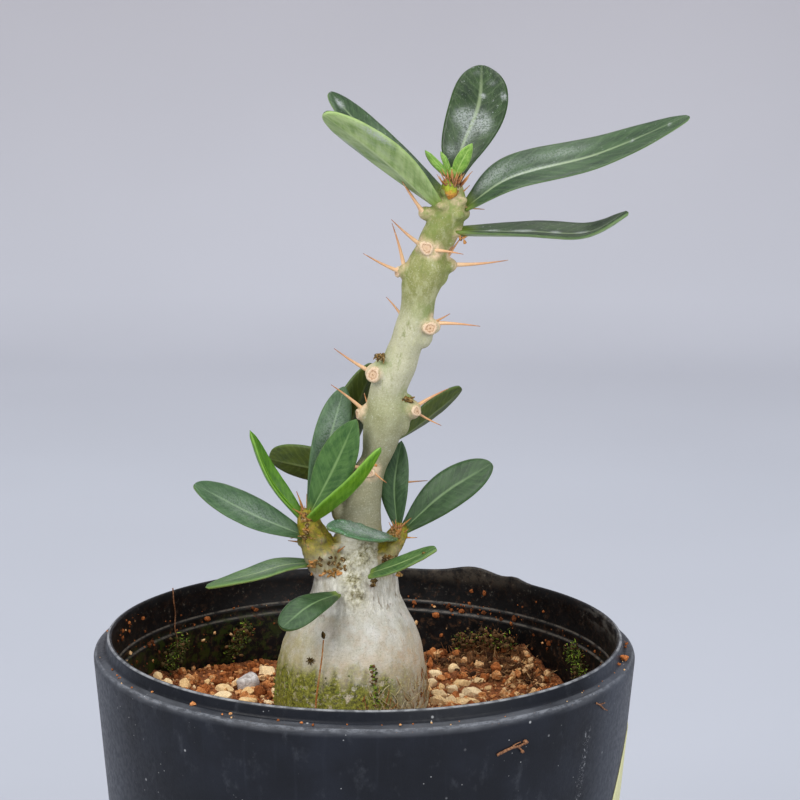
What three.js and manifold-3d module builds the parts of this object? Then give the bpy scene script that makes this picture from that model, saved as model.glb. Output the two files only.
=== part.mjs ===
// A caudex plant in a plastic nursery pot. Millimetres, z up, the camera side is -y.
// The centre of the pot's underside is the origin.
import * as THREE from 'three';
import { mergeVertices } from 'three/addons/utils/BufferGeometryUtils.js';
import Module from 'manifold-3d';

const wasm = await Module();
wasm.setup();

// Driving sizes
const GAP = 0.3;
const POT_HEIGHT = 78;
const POT_FLOOR = 1.8;
const POT_SIDES = 52;
const DRAIN_HOLES = 6;
const DRAIN_RADIUS = 3;
const DRAIN_CIRCLE = 24;
const SOIL_LEVEL = 61.4;
const SOIL_MOUND = 1.4;
const CAUDEX_X = -2.3;
const SPINE_RADIUS = 0.42;

// Pot wall from the floor's rim to the shoulder, the ledge and the thin upright lip
const POT_OUTSIDE = [
  [37.6, 0], [38.4, 0.6], [38.8, 2.0], [40.3, 19], [42.0, 39], [43.7, 58.5], [45.1, 74.6],
  [45.0, 75.2], [44.6, 75.6], [43.7, 76.0], [43.2, 76.1], [42.95, 77.7], [42.7, POT_HEIGHT],
];
const POT_INSIDE = [
  [42.3, POT_HEIGHT], [42.1, 77.7], [42.0, 71.8], [41.7, 71.5], [41.7, 70.3], [41.3, 70.0],
  [40.9, 58], [38.6, 30], [36.7, 6], [35.6, POT_FLOOR],
];

// Caudex and trunk, bottom to top: centre x, centre y, height, radius
const TRUNK = [
  [-2.3, 0, 52.0, 8.0], [-2.3, 0, 56.0, 10.4], [-2.3, 0, 60.0, 12.2], [-2.3, 0, 64.4, 12.8],
  [-2.3, 0, 68.6, 12.8], [-2.2, 0, 73.5, 12.2], [-2.1, 0, 76.3, 11.5], [-2.0, 0, 78.4, 10.7],
  [-1.8, 0, 80.8, 9.4], [-1.7, 0, 83.3, 8.0], [-1.6, 0, 85.0, 7.3], [-1.5, 0, 87.6, 6.9],
  [-1.4, 0, 90.2, 5.9], [-1.2, 0, 92.7, 4.8], [-1.0, 0, 95.3, 3.8], [-0.9, 0, 98.0, 3.5],
  [-0.7, 0, 99.6, 3.3], [-0.1, 0, 103.5, 2.95], [0.8, 0, 106.1, 2.7], [2.0, 0, 108.3, 2.6],
  [2.6, 0, 111.1, 3.1], [3.0, 0, 113.2, 3.4], [3.3, 0, 115.2, 3.5], [3.5, 0, 118.5, 3.1],
  [4.2, 0, 120.7, 3.2], [5.1, 0, 122.9, 3.2], [6.1, 0, 125.7, 2.9], [7.1, 0, 127.9, 3.0],
  [7.9, 0, 130.6, 3.0], [8.2, 0, 132.0, 2.85], [8.5, 0, 134.1, 2.8], [9.1, 0, 137.0, 3.4],
  [9.8, 0, 139.3, 3.6], [10.2, 0, 141.5, 3.1], [10.8, 0, 143.1, 2.75], [11.4, 0, 144.8, 2.75],
  [12.7, 0, 147.1, 2.9], [13.6, 0, 149.7, 2.55], [13.7, 0, 152.1, 2.0], [13.7, 0, 153.4, 1.5],
];
const LEFT_SHOOT = [
  [-4.2, -1.0, 86.0, 2.2], [-5.6, -1.6, 88.6, 3.5], [-6.6, -2.0, 91.0, 3.5],
  [-7.6, -2.2, 93.4, 3.0], [-8.5, -2.3, 95.6, 2.5], [-9.3, -2.4, 97.6, 1.9],
  [-9.7, -2.4, 99.2, 1.1],
];
const RIGHT_SHOOT = [
  [0.6, -2.4, 88.4, 1.8], [2.0, -3.0, 90.6, 2.6], [3.4, -2.6, 92.4, 2.4],
  [4.6, -1.9, 94.0, 2.1], [5.4, -1.2, 95.4, 1.7], [5.8, -0.9, 96.6, 0.9],
];

// Knobs that carry a leaf scar: centre, then half sizes along x, y and z
const KNOBS = [
  [9.6, -1.6, 142.9, 2.2, 1.9, 1.8], [6.6, -0.4, 139.0, 1.9, 1.6, 1.8],
  [13.2, -0.2, 139.9, 1.9, 1.6, 1.7], [10.1, -1.6, 130.1, 2.3, 1.8, 1.7],
  [1.8, -1.4, 122.4, 2.4, 2.0, 1.9], [2.4, -1.2, 124.0, 0.9, 0.9, 1.3],
  [0.2, 0.0, 115.1, 1.8, 1.5, 2.1], [7.4, -0.8, 116.0, 1.9, 1.6, 2.1],
  [7.0, -0.8, 117.7, 0.9, 0.9, 1.1], [0.6, -1.6, 106.0, 1.7, 1.6, 1.4],
  [9.4, -0.6, 148.6, 1.5, 1.4, 1.4], [15.4, -0.2, 148.6, 1.6, 1.3, 1.5],
  [14.0, -0.8, 145.4, 1.8, 1.4, 1.2], [12.0, -1.0, 150.2, 1.5, 1.4, 1.3],
  [-4.4, -0.6, 98.6, 1.3, 1.2, 1.7], [-4.6, -1.4, 90.2, 2.4, 2.4, 2.4],
  [1.3, -6.8, 88.6, 1.1, 1.5, 1.2], [-10.2, -2.0, 94.0, 1.4, 1.3, 1.2],
];

// Spines: root on the bark, then point
const SPINES = [
  [[9.2, -1.2, 148.7], [5.5, -3.0, 154.1]], [[8.9, -0.8, 148.4], [6.4, -2.0, 152.8]],
  [[8.3, -1.8, 143.8], [4.0, -4.0, 147.8]], [[10.9, -2.4, 142.6], [15.6, -5.0, 142.4]],
  [[5.3, -0.5, 138.9], [-0.5, -3.0, 142.1]], [[6.0, -0.4, 139.9], [4.1, -2.6, 147.0]],
  [[14.7, 0.0, 140.0], [22.9, -3.0, 141.2]], [[13.6, 0.0, 141.8], [15.5, -1.0, 144.8]],
  [[13.2, 0.4, 141.8], [15.0, 2.0, 144.6]], [[11.5, -1.5, 130.5], [18.5, -4.0, 130.5]],
  [[11.3, -1.5, 130.9], [13.6, -3.2, 132.4]], [[5.4, 1.6, 131.6], [3.2, 5.0, 133.7]],
  [[0.2, -1.2, 122.7], [-5.2, -3.0, 126.5]], [[-0.6, 0.0, 115.8], [-5.7, -2.0, 120.3]],
  [[0.5, 0.2, 116.2], [-0.3, 0.6, 118.4]], [[8.5, -0.6, 116.6], [13.5, -2.0, 119.8]],
  [[8.7, -0.6, 115.3], [12.4, -2.5, 113.7]], [[-0.4, -2.0, 106.2], [-5.3, -3.0, 107.5]],
  [[1.2, -2.4, 106.0], [3.5, -5.0, 104.6]], [[2.4, 1.6, 102.4], [10.3, 4.0, 102.9]],
  [[14.9, -0.4, 149.6], [19.0, -2.0, 149.3]], [[14.4, -0.8, 152.2], [17.0, -1.6, 155.4]],
  [[14.2, -0.4, 150.8], [16.6, -0.6, 153.0]], [[-9.9, -2.2, 97.8], [-11.3, -3.0, 102.6]],
  [[-9.4, -1.4, 97.8], [-9.7, -0.6, 101.6]], [[-10.6, -2.0, 93.6], [-12.7, -3.0, 94.2]],
  [[5.9, -1.4, 94.6], [8.6, -3.0, 94.9]], [[-5.0, 0.2, 90.0], [-9.0, 4.4, 92.4]],
  [[11.6, 1.6, 142.4], [13.0, 6.6, 145.0]], [[9.2, 1.8, 130.2], [7.4, 7.6, 132.4]],
  [[5.8, 1.8, 122.4], [8.2, 7.4, 124.4]], [[4.2, 1.9, 114.8], [5.6, 8.0, 116.8]],
];

// Leaves: the midrib from root to point; the way the upper face looks at the root and at the
// point; full width, place of the widest part, bluntness of the point, channel depth at the root
// and at the point, width at the root as a share, how late the blade widens
const LEAVES = {
  leaf_top_centre: {
    rib: [[14.0, 0.8, 152.4], [15.1, 2.4, 158.0], [18.1, 6.0, 165.6], [18.6, 10.0, 171.4]],
    face: [[-0.1, -0.95, 0.3], [0, -0.9, 0.4]], width: 9.4, peak: 0.64, blunt: 0.5,
    fold: [0.3, 0.05], root: 0.2, rise: 1.6,
  },
  leaf_top_right: {
    rib: [[16.0, -0.4, 149.4], [22.5, -2.0, 154.4], [37.0, -4.6, 158.7], [51.0, -8.0, 165.0]],
    face: [[-0.2, -0.5, 0.8], [-0.2, -0.5, 0.85]], width: 9.4, peak: 0.42, blunt: 0.66,
    fold: [0.4, 0.05], root: 0.26,
  },
  leaf_top_right_low: {
    rib: [[14.8, -0.8, 145.6], [26.2, -4.4, 146.2], [35.6, -7.0, 146.5], [41.6, -9.0, 149.9]],
    face: [[0, -0.2, 0.95], [-0.2, -0.14, 0.97]], width: 7.8, peak: 0.5, blunt: 0.75,
    fold: [0.35, 0.15], root: 0.35,
  },
  leaf_top_left: {
    rib: [[11.4, -1.2, 150.0], [2.4, -6.0, 158.6], [-6.6, -10.0, 165.4]],
    face: [[0.45, 0.6, 0.55], [0.35, 0.6, 0.65]], width: 8.7, peak: 0.5, blunt: 0.48,
    fold: [0.2, 0.1], root: 0.3,
  },
  leaf_top_left_back: {
    rib: [[12.0, 1.6, 151.0], [0.8, 6.0, 159.8], [-6.4, 8.0, 167.0]],
    face: [[0.4, -0.4, 0.8], [0.4, -0.4, 0.8]], width: 8.2, peak: 0.5, blunt: 0.6,
    fold: [0.3, 0.15], root: 0.42,
  },
  leaf_left_long: {
    rib: [[-9.4, -2.2, 94.6], [-18.8, -5.2, 99.4], [-27.7, -9.0, 104.9]],
    face: [[0.3, -0.55, 0.8], [0.3, -0.55, 0.8]], width: 7.4, peak: 0.55, blunt: 0.62,
    fold: [0.4, 0.05], root: 0.2,
  },
  leaf_left_young: {
    rib: [[-10.2, -2.0, 97.6], [-15.3, -3.0, 104.6], [-18.8, -5.0, 113.2]],
    face: [[0.8, -0.5, 0.4], [0.8, -0.5, 0.4]], width: 3.3, peak: 0.4, blunt: 0.9,
    fold: [0.7, 0.7], root: 0.3,
  },
  leaf_left_front: {
    rib: [[-9.0, -3.2, 98.0], [-5.6, -6.2, 101.3], [-1.1, -10.0, 106.4], [2.6, -13.0, 112.3]],
    face: [[-0.6, 0.5, 0.6], [-0.5, 0.4, 0.7]], width: 4.1, peak: 0.4, blunt: 0.7,
    fold: [0.5, 0.7], root: 0.5,
  },
  leaf_left_upright: {
    rib: [[-9.0, -2.6, 98.8], [-5.0, -3.2, 106.9], [-1.5, -4.2, 115.0]],
    face: [[-0.3, -0.9, 0.3], [-0.3, -0.9, 0.3]], width: 6.7, peak: 0.5, blunt: 0.8,
    fold: [0.2, 0.1], root: 0.2,
  },
  leaf_left_tall: {
    rib: [[-9.2, -1.4, 98.4], [-5.8, 1.0, 111.2], [-3.6, 3.0, 119.0]],
    face: [[0.1, -0.95, 0.2], [0.1, -0.95, 0.3]], width: 5.6, peak: 0.5, blunt: 0.65,
    fold: [0.2, 0.05], root: 0.2,
  },
  leaf_left_behind: {
    rib: [[-8.6, -0.6, 98.0], [-4.0, 5.0, 110.0], [0.9, 7.0, 122.2]],
    face: [[-0.5, 0.8, 0.3], [-0.5, 0.8, 0.3]], width: 7.8, peak: 0.6, blunt: 0.6,
    fold: [0.2, 0.1], root: 0.2,
  },
  leaf_left_back: {
    rib: [[-1.4, 1.4, 104.8], [-8.4, 4.5, 105.2], [-16.2, 8.5, 105.7]],
    face: [[0, 0.9, 0.4], [0.1, 0.9, 0.4]], width: 7.5, peak: 0.55, blunt: 0.45,
    fold: [0.2, 0.1], root: 0.2,
  },
  leaf_left_low: {
    rib: [[-8.2, -1.6, 90.1], [-13.5, -3.6, 90.1], [-18.1, -5.6, 89.1], [-25.9, -9.0, 87.8]],
    face: [[0, -0.14, 0.97], [-0.3, -0.15, 0.93]], width: 6.4, peak: 0.5, blunt: 0.75,
    fold: [0.25, 0.1], root: 0.25,
  },
  leaf_caudex: {
    rib: [[-4.4, -7.0, 86.2], [-8.9, -13.0, 85.8], [-13.0, -17.0, 83.2]],
    face: [[-0.1, -0.6, 0.8], [-0.4, -0.7, 0.6]], width: 6.0, peak: 0.6, blunt: 0.45,
    fold: [0.2, 0.05], root: 0.25,
  },
  leaf_right_upright: {
    rib: [[5.4, -0.8, 95.6], [4.8, 0.4, 102.9], [5.9, 2.0, 110.1]],
    face: [[-0.3, -0.9, 0.1], [-0.2, -0.95, 0.1]], width: 4.8, peak: 0.5, blunt: 0.8,
    fold: [0.2, 0.1], root: 0.2,
  },
  leaf_right_long: {
    rib: [[6.0, -0.8, 95.2], [12.8, -1.6, 101.9], [20.8, -3.0, 107.4]],
    face: [[-0.4, -0.8, 0.5], [-0.2, -0.75, 0.6]], width: 7.2, peak: 0.58, blunt: 0.55,
    fold: [0.2, 0.05], root: 0.2,
  },
  leaf_right_front: {
    rib: [[5.2, -2.6, 94.6], [-0.4, -8.4, 97.0], [-6.1, -12.0, 99.0]],
    face: [[0, -0.3, 0.95], [0.1, -0.35, 0.9]], width: 6.4, peak: 0.5, blunt: 0.8,
    fold: [0.2, 0.15], root: 0.2,
  },
  leaf_right_low: {
    rib: [[1.0, -8.2, 90.0], [6.2, -10.8, 92.6], [11.6, -13.2, 95.7]],
    face: [[-0.1, -0.35, 0.9], [-0.3, -0.3, 0.9]], width: 4.6, peak: 0.35, blunt: 0.5,
    fold: [0.1, 0.2], root: 0.55,
  },
  leaf_back_right: {
    rib: [[4.0, 2.0, 110.0], [9.8, 6.0, 113.6], [15.8, 8.0, 118.0]],
    face: [[-0.5, 0.6, 0.6], [-0.4, 0.6, 0.7]], width: 6.6, peak: 0.58, blunt: 0.6,
    fold: [0.2, 0.1], root: 0.2,
  },
};
const LEAF_THICKNESS = 0.75;

// Young leaves of the crown bud
const YOUNG_FACE = [[0.2, -0.8, 0.5], [0.2, -0.8, 0.5]];
const YOUNG_SHAPE = { face: YOUNG_FACE, peak: 0.35, blunt: 0.9, fold: [0.2, 0.2], root: 0.5 };
const BUD_LEAVES = [
  { rib: [[13.3, -0.6, 154.4], [10.9, -1.8, 156.8], [9.3, -3.0, 158.9]], width: 1.5 },
  { rib: [[13.4, -0.4, 154.6], [12.6, -1.2, 157.0], [11.8, -1.6, 158.6]], width: 1.0 },
  { rib: [[14.2, -0.4, 154.6], [15.6, -1.4, 157.6], [16.9, -2.4, 160.0]], width: 2.4 },
];
const BUD_HEART = [13.8, -0.2, 154.8, 1.2, 1.1, 1.3];

// Loose pieces on the soil: centre x, centre y, half sizes, colour
const GRAINS = {
  stone_grey: [-20.8, 18.6, 2.2, 2.0, 2.0, 0xb9b6ae],
  grain_cream_a: [-18.0, 26.6, 1.8, 1.5, 1.4, 0xe2cfa4],
  grain_cream_b: [-24.8, 16.0, 1.9, 1.3, 1.1, 0xd6c39a],
  grain_cream_c: [-20.4, 13.4, 1.6, 1.3, 1.2, 0xe0cfa9],
  grain_cream_d: [12.2, 26.0, 1.5, 1.4, 1.2, 0xdcc8a0],
  grain_cream_e: [15.8, 27.4, 1.3, 1.2, 1.1, 0xd2b98c],
  grain_cream_f: [17.0, 20.4, 1.7, 1.4, 1.1, 0xe0cda6],
  grain_cream_g: [18.4, 15.6, 1.9, 1.5, 1.3, 0xdfc497],
  grain_cream_h: [12.8, 13.2, 1.5, 1.3, 1.2, 0xe6d7b4],
  grain_cream_i: [23.9, 25.0, 1.6, 1.2, 1.0, 0xe3cfa8],
};
// Moss tufts: degrees round the pot, distance from its axis, height, radius
const MOSS = {
  moss_back: [[64, 38.2, 66.0, 1.6], [61, 38.0, 66.8, 1.8], [57, 38.0, 67.3, 1.8],
    [53, 38.0, 67.4, 1.8], [49.5, 38.1, 67.0, 1.7]],
  moss_right: [[24, 39.2, 70.2, 1.3], [22, 39.1, 68.7, 1.5], [19, 39.1, 67.2, 1.5]],
  moss_left: [[151, 39.1, 66.2, 1.6], [148.5, 39.1, 67.6, 1.5], [146, 39.2, 68.8, 1.4]],
  moss_left_back: [[128, 39.0, 65.0, 1.6], [126, 39.1, 66.8, 1.5], [124, 39.1, 68.4, 1.5]],
};
const STRAW = [[25.0, 20.6, 0.3], [28.4, 26.0, 0.8]];
const STRAW_RADIUS = 0.4;

// Blank label let in to the right of the wall: the angles are degrees round the pot
const LABEL = { low: 18, high: 63, leadHigh: -9, leadLow: -46, end: 38, proud: 0.15, thick: 0.6 };

function random(seed) {
  let state = seed;
  return () => {
    state = (state * 16807) % 2147483647;
    return state / 2147483647;
  };
}

function solidFrom(geometry) {
  const plain = geometry.clone();
  plain.deleteAttribute('normal');
  plain.deleteAttribute('uv');
  const merged = mergeVertices(plain, 1e-4);
  return new wasm.Manifold(new wasm.Mesh({
    numProp: 3,
    vertProperties: new Float32Array(merged.attributes.position.array),
    triVerts: new Uint32Array(merged.index.array),
  }));
}

function geometryFrom(solid) {
  const mesh = solid.getMesh();
  const geometry = new THREE.BufferGeometry();
  geometry.setAttribute('position', new THREE.BufferAttribute(mesh.vertProperties, 3));
  geometry.setIndex(new THREE.BufferAttribute(mesh.triVerts, 1));
  geometry.computeVertexNormals();
  return geometry;
}

function indexed(points, faces) {
  const geometry = new THREE.BufferGeometry();
  geometry.setAttribute('position', new THREE.Float32BufferAttribute(points.flat(), 3));
  geometry.setIndex(faces.flat());
  return geometry;
}

function largest(solid) {
  const bodies = solid.decompose();
  return bodies.reduce((best, body) => (body.volume() > best.volume() ? body : best));
}

// Level rings stacked along a bent axis and closed by flat ends
function stack(rows, sides, grow) {
  const points = [];
  for (const [x, y, z, radius] of rows) {
    for (let k = 0; k < sides; k++) {
      const a = (k / sides) * Math.PI * 2;
      points.push([x + (radius + grow) * Math.cos(a), y + (radius + grow) * Math.sin(a), z]);
    }
  }
  const low = points.length;
  const first = rows[0];
  const last = rows[rows.length - 1];
  points.push([first[0], first[1], first[2] - grow], [last[0], last[1], last[2] + grow + 0.5]);
  const faces = [];
  for (let i = 0; i < rows.length - 1; i++) {
    for (let k = 0; k < sides; k++) {
      const a = i * sides + k;
      const b = i * sides + ((k + 1) % sides);
      faces.push([a, b, b + sides], [a, b + sides, a + sides]);
    }
  }
  const top = (rows.length - 1) * sides;
  for (let k = 0; k < sides; k++) {
    const next = (k + 1) % sides;
    faces.push([low, next, k], [low + 1, top + k, top + next]);
  }
  return solidFrom(indexed(points, faces));
}

function ball([x, y, z, rx, ry, rz], grow) {
  const geometry = new THREE.SphereGeometry(1, 8, 5);
  geometry.scale(rx + grow, ry + grow, rz + grow);
  geometry.translate(x, y, z);
  return solidFrom(geometry);
}

function spine([root, point], grow) {
  const from = new THREE.Vector3(...root);
  const to = new THREE.Vector3(...point);
  const along = to.clone().sub(from).normalize();
  from.addScaledVector(along, -1.2);
  const length = from.distanceTo(to) + grow;
  const geometry = new THREE.CylinderGeometry(0.14 + grow, SPINE_RADIUS + grow, length, 4, 1);
  const turn = new THREE.Quaternion().setFromUnitVectors(new THREE.Vector3(0, 1, 0), along);
  geometry.applyQuaternion(turn);
  const middle = from.clone().addScaledVector(along, length / 2);
  geometry.translate(middle.x, middle.y, middle.z);
  return solidFrom(geometry);
}

function stem(grow) {
  const pieces = [stack(TRUNK, 14, grow), stack(LEFT_SHOOT, 10, grow), stack(RIGHT_SHOOT, 10, grow)];
  KNOBS.forEach((knob) => pieces.push(ball(knob, grow)));
  SPINES.forEach((row) => pieces.push(spine(row, grow)));
  return pieces.reduce((all, piece) => all.add(piece));
}

// A closed sheet whose two faces are split the same way: u runs along it, v across it and the
// place of a corner comes from the function, side 1 being the outer face and -1 the inner
function sheet(rows, columns, place) {
  const points = [];
  for (const side of [1, -1]) {
    for (let i = 0; i <= rows; i++) {
      for (let j = 0; j <= columns; j++) {
        points.push(place(i / rows, j / columns, side));
      }
    }
  }
  const wide = columns + 1;
  const under = (rows + 1) * wide;
  const faces = [];
  const quad = (a, b, c, d) => faces.push([a, b, c], [a, c, d]);
  for (let i = 0; i < rows; i++) {
    const row = i * wide;
    for (let j = 0; j < columns; j++) {
      const a = row + j;
      const c = a + wide + 1;
      faces.push([a, a + 1, c], [a, c, a + wide]);
      faces.push([under + a, under + c, under + a + 1], [under + a, under + a + wide, under + c]);
    }
    const end = row + columns;
    quad(row, row + wide, under + row + wide, under + row);
    quad(end + wide, end, under + end, under + end + wide);
  }
  const tip = rows * wide;
  for (let j = 0; j < columns; j++) {
    quad(j + 1, j, under + j, under + j + 1);
    quad(tip + j, tip + j + 1, under + tip + j + 1, under + tip + j);
  }
  return solidFrom(indexed(points, faces));
}

function leafWidth(t, leaf) {
  if (t < leaf.peak) {
    const rise = Math.sin((Math.PI / 2) * (t / leaf.peak)) ** (leaf.rise ?? 1.1);
    return leaf.root + (1 - leaf.root) * rise;
  }
  const q = (t - leaf.peak) / (1 - leaf.peak);
  return Math.max(0.08, (1 - q ** 2.2) ** leaf.blunt);
}

function blade(leaf, grow, rows, columns) {
  const rib = new THREE.CatmullRomCurve3(leaf.rib.map((p) => new THREE.Vector3(...p)));
  const faceRoot = new THREE.Vector3(...leaf.face[0]);
  const facePoint = new THREE.Vector3(...leaf.face[1]);
  return sheet(rows, columns, (u, v, side) => {
    const t = 1 - (1 - u) ** 1.25;
    const along = rib.getTangent(t);
    const up = faceRoot.clone().lerp(facePoint, t);
    up.addScaledVector(along, -up.dot(along)).normalize();
    const across = new THREE.Vector3().crossVectors(along, up);
    const half = (leaf.width / 2) * leafWidth(t, leaf) + grow;
    const s = 2 * v - 1;
    const fold = leaf.fold[0] + (leaf.fold[1] - leaf.fold[0]) * t;
    const lift = fold * half * (Math.abs(s) ** 1.4 - 0.45) + side * (LEAF_THICKNESS / 2 + grow);
    const reach = u === 0 ? -grow : u === 1 ? grow : 0;
    const spot = rib.getPoint(t);
    spot.addScaledVector(across, s * half).addScaledVector(up, lift).addScaledVector(along, reach);
    return spot.toArray();
  });
}

// Unevenness of the lip: low along the back, a hump and a small one at the far right
function lipWave(angle) {
  const back = -0.45 * Math.max(0, Math.sin(angle)) ** 0.5;
  return back + 1.4 * bump(angle, 1.1, 0.12) + 0.7 * bump(angle, 0.9, 0.05);
}

function label(grow) {
  return sheet(8, 10, (u, v, side) => {
    const z = LABEL.low - grow + u * (LABEL.high - LABEL.low + 2 * grow);
    const lead = LABEL.leadHigh + (1 - u) ** 0.8 * (LABEL.leadLow - LABEL.leadHigh);
    const spread = (grow / 42) * (180 / Math.PI);
    const angle = ((lead - spread + v * (LABEL.end - lead + 2 * spread)) * Math.PI) / 180;
    const inner = LABEL.proud - LABEL.thick - grow;
    const radius = radiusAt(POT_OUTSIDE, z) + (side > 0 ? LABEL.proud + grow : inner);
    return [radius * Math.cos(angle), radius * Math.sin(angle), z];
  });
}

function potSolid() {
  const profile = [[0, 0], ...POT_OUTSIDE, ...POT_INSIDE, [0, POT_FLOOR]];
  const geometry = new THREE.LatheGeometry(
    profile.map(([r, z]) => new THREE.Vector2(r, z)), POT_SIDES);
  geometry.rotateX(Math.PI / 2);
  const spots = geometry.attributes.position;
  for (let i = 0; i < spots.count; i++) {
    const x = spots.getX(i);
    const y = spots.getY(i);
    const z = spots.getZ(i);
    const high = Math.max(0, (z - 74) / 4);
    spots.setZ(i, z + high * lipWave(Math.atan2(y, x)));
  }
  let shell = solidFrom(geometry);
  for (let k = 0; k < DRAIN_HOLES; k++) {
    const a = ((k + 0.5) / DRAIN_HOLES) * Math.PI * 2;
    const hole = new THREE.CylinderGeometry(DRAIN_RADIUS, DRAIN_RADIUS, 8, 16);
    hole.rotateX(Math.PI / 2);
    hole.translate(DRAIN_CIRCLE * Math.cos(a), DRAIN_CIRCLE * Math.sin(a), 0);
    shell = shell.subtract(solidFrom(hole));
  }
  return shell.subtract(label(GAP));
}

function radiusAt(wall, z) {
  for (let i = 1; i < wall.length; i++) {
    const [r0, z0] = wall[i - 1];
    const [r1, z1] = wall[i];
    if (z <= z1) {
      return r0 + ((r1 - r0) * (z - z0)) / (z1 - z0);
    }
  }
  return wall[wall.length - 1][0];
}

const insideRadius = (z) => radiusAt(POT_INSIDE.slice().reverse(), z);

function bump(value, middle, width) {
  return Math.exp(-(((value - middle) / width) ** 2));
}

// Level of the soil: a mound at the caudex, a bank at the left wall and one at the far right
function soilHeight(x, y) {
  const away = Math.hypot(x - CAUDEX_X, y);
  const out = (Math.hypot(x, y) / 41) ** 5;
  const angle = (Math.atan2(y, x) * 180) / Math.PI;
  const mound = SOIL_MOUND * bump(away, 10, 12);
  const bank = out * (4.6 * bump(angle, 168, 27) + 5.2 * bump(angle, 51, 15));
  const lumps = 0.45 * Math.sin(x * 0.9 + 1.3 * Math.sin(y * 0.5)) * Math.cos(y * 0.8 + x * 0.3);
  return SOIL_LEVEL + mound + bank + lumps;
}

function soilSolid() {
  const sides = 36;
  const rings = 8;
  const points = [];
  for (let i = 1; i <= rings; i++) {
    for (let k = 0; k < sides; k++) {
      const a = (k / sides) * Math.PI * 2;
      const radius = (i / rings) * (insideRadius(SOIL_LEVEL) - GAP);
      const x = radius * Math.cos(a);
      const y = radius * Math.sin(a);
      points.push([x, y, soilHeight(x, y)]);
    }
  }
  for (const z of [30, 6, POT_FLOOR + GAP]) {
    for (let k = 0; k < sides; k++) {
      const a = (k / sides) * Math.PI * 2;
      const radius = insideRadius(z) - GAP;
      points.push([radius * Math.cos(a), radius * Math.sin(a), z]);
    }
  }
  const crown = points.length;
  points.push([0, 0, soilHeight(0, 0)], [0, 0, POT_FLOOR + GAP]);
  const faces = [];
  for (let i = 0; i < rings + 2; i++) {
    for (let k = 0; k < sides; k++) {
      const a = i * sides + k;
      const b = i * sides + ((k + 1) % sides);
      faces.push([a, a + sides, b + sides], [a, b + sides, b]);
    }
  }
  const low = (rings + 2) * sides;
  for (let k = 0; k < sides; k++) {
    const next = (k + 1) % sides;
    faces.push([crown, k, next], [crown + 1, low + next, low + k]);
  }
  return solidFrom(indexed(points, faces));
}

// A rough pebble: an icosahedron with its corners pushed in and out
function pebble(x, y, z, rx, ry, rz, seed, detail, rough) {
  const geometry = mergeVertices(new THREE.IcosahedronGeometry(1, detail).deleteAttribute('normal')
    .deleteAttribute('uv'), 1e-4);
  const next = random(seed);
  const spots = geometry.attributes.position;
  for (let i = 0; i < spots.count; i++) {
    const push = 1 + rough * (next() - 0.5);
    spots.setXYZ(i, spots.getX(i) * push, spots.getY(i) * push, spots.getZ(i) * push);
  }
  geometry.scale(rx, ry, rz);
  geometry.translate(x, y, z);
  return solidFrom(geometry);
}

const part = new THREE.Group();
part.name = 'potted_caudex_plant';

function addPart(name, solid, colour, roughness) {
  const material = new THREE.MeshStandardMaterial({ color: colour, roughness });
  const mesh = new THREE.Mesh(geometryFrom(largest(solid)), material);
  mesh.name = name;
  part.add(mesh);
}

const LEAF_GREEN = 0x3f6b3c;
const YOUNG_GREEN = 0x6fa53a;
const PALE_GREEN = 0x6d8f4f;
const LEAF_COLOURS = {
  leaf_left_young: YOUNG_GREEN,
  leaf_left_front: YOUNG_GREEN,
  leaf_top_left: PALE_GREEN,
  leaf_right_low: PALE_GREEN,
};

function tufts(rows, grow, seed) {
  const pieces = rows.map(([degrees, out, z, r], k) => {
    const angle = (degrees * Math.PI) / 180;
    const size = r + grow;
    return pebble(out * Math.cos(angle), out * Math.sin(angle), z, size, size, size, seed + k, 1,
      0.24);
  });
  return pieces.reduce((all, piece) => all.add(piece));
}

function straw(grow) {
  const ends = STRAW.map(([x, y, above]) => new THREE.Vector3(x, y, soilHeight(x, y) + above));
  const along = ends[1].clone().sub(ends[0]);
  const radius = STRAW_RADIUS + grow;
  const rod = new THREE.CylinderGeometry(radius, radius, along.length() + 2 * grow, 6);
  const upright = new THREE.Vector3(0, 1, 0);
  const turn = new THREE.Quaternion().setFromUnitVectors(upright, along.clone().normalize());
  rod.applyQuaternion(turn);
  rod.translate(...ends[0].add(ends[1]).multiplyScalar(0.5).toArray());
  return solidFrom(rod);
}

const wood = stem(0);
const woodGrown = stem(GAP);
const budRoot = ball(BUD_HEART, 0);
const bud = BUD_LEAVES.reduce((all, leaf) => all.add(blade({ ...YOUNG_SHAPE, ...leaf }, 0, 6, 2)),
  budRoot);

// Soil with a hole for the foot of the plant and a seat under each loose piece
let soil = soilSolid().subtract(woodGrown);
const loose = [];
Object.entries(GRAINS).forEach(([name, [x, y, rx, ry, rz, colour]], n) => {
  const z = soilHeight(x, y) + rz * 0.45;
  soil = soil.subtract(pebble(x, y, z, rx + GAP, ry + GAP, rz + GAP, 11 + n * 7, 1, 0.22));
  loose.push([name, pebble(x, y, z, rx, ry, rz, 11 + n * 7, 1, 0.22), colour, 0.9]);
});
Object.entries(MOSS).forEach(([name, rows], n) => {
  soil = soil.subtract(tufts(rows, GAP, 71 + 13 * n));
  loose.push([name, tufts(rows, 0, 71 + 13 * n), 0x5b6b25, 1]);
});
soil = soil.subtract(straw(GAP));
loose.push(['straw', straw(0), 0xc69a63, 0.8]);

addPart('pot', potSolid(), 0x2f333c, 0.5);
addPart('soil', soil, 0x8a5638, 1);
addPart('stem', wood, 0xc9c9b0, 0.75);
addPart('crown_bud', bud.subtract(woodGrown), 0x9fb83a, 0.5);

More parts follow.
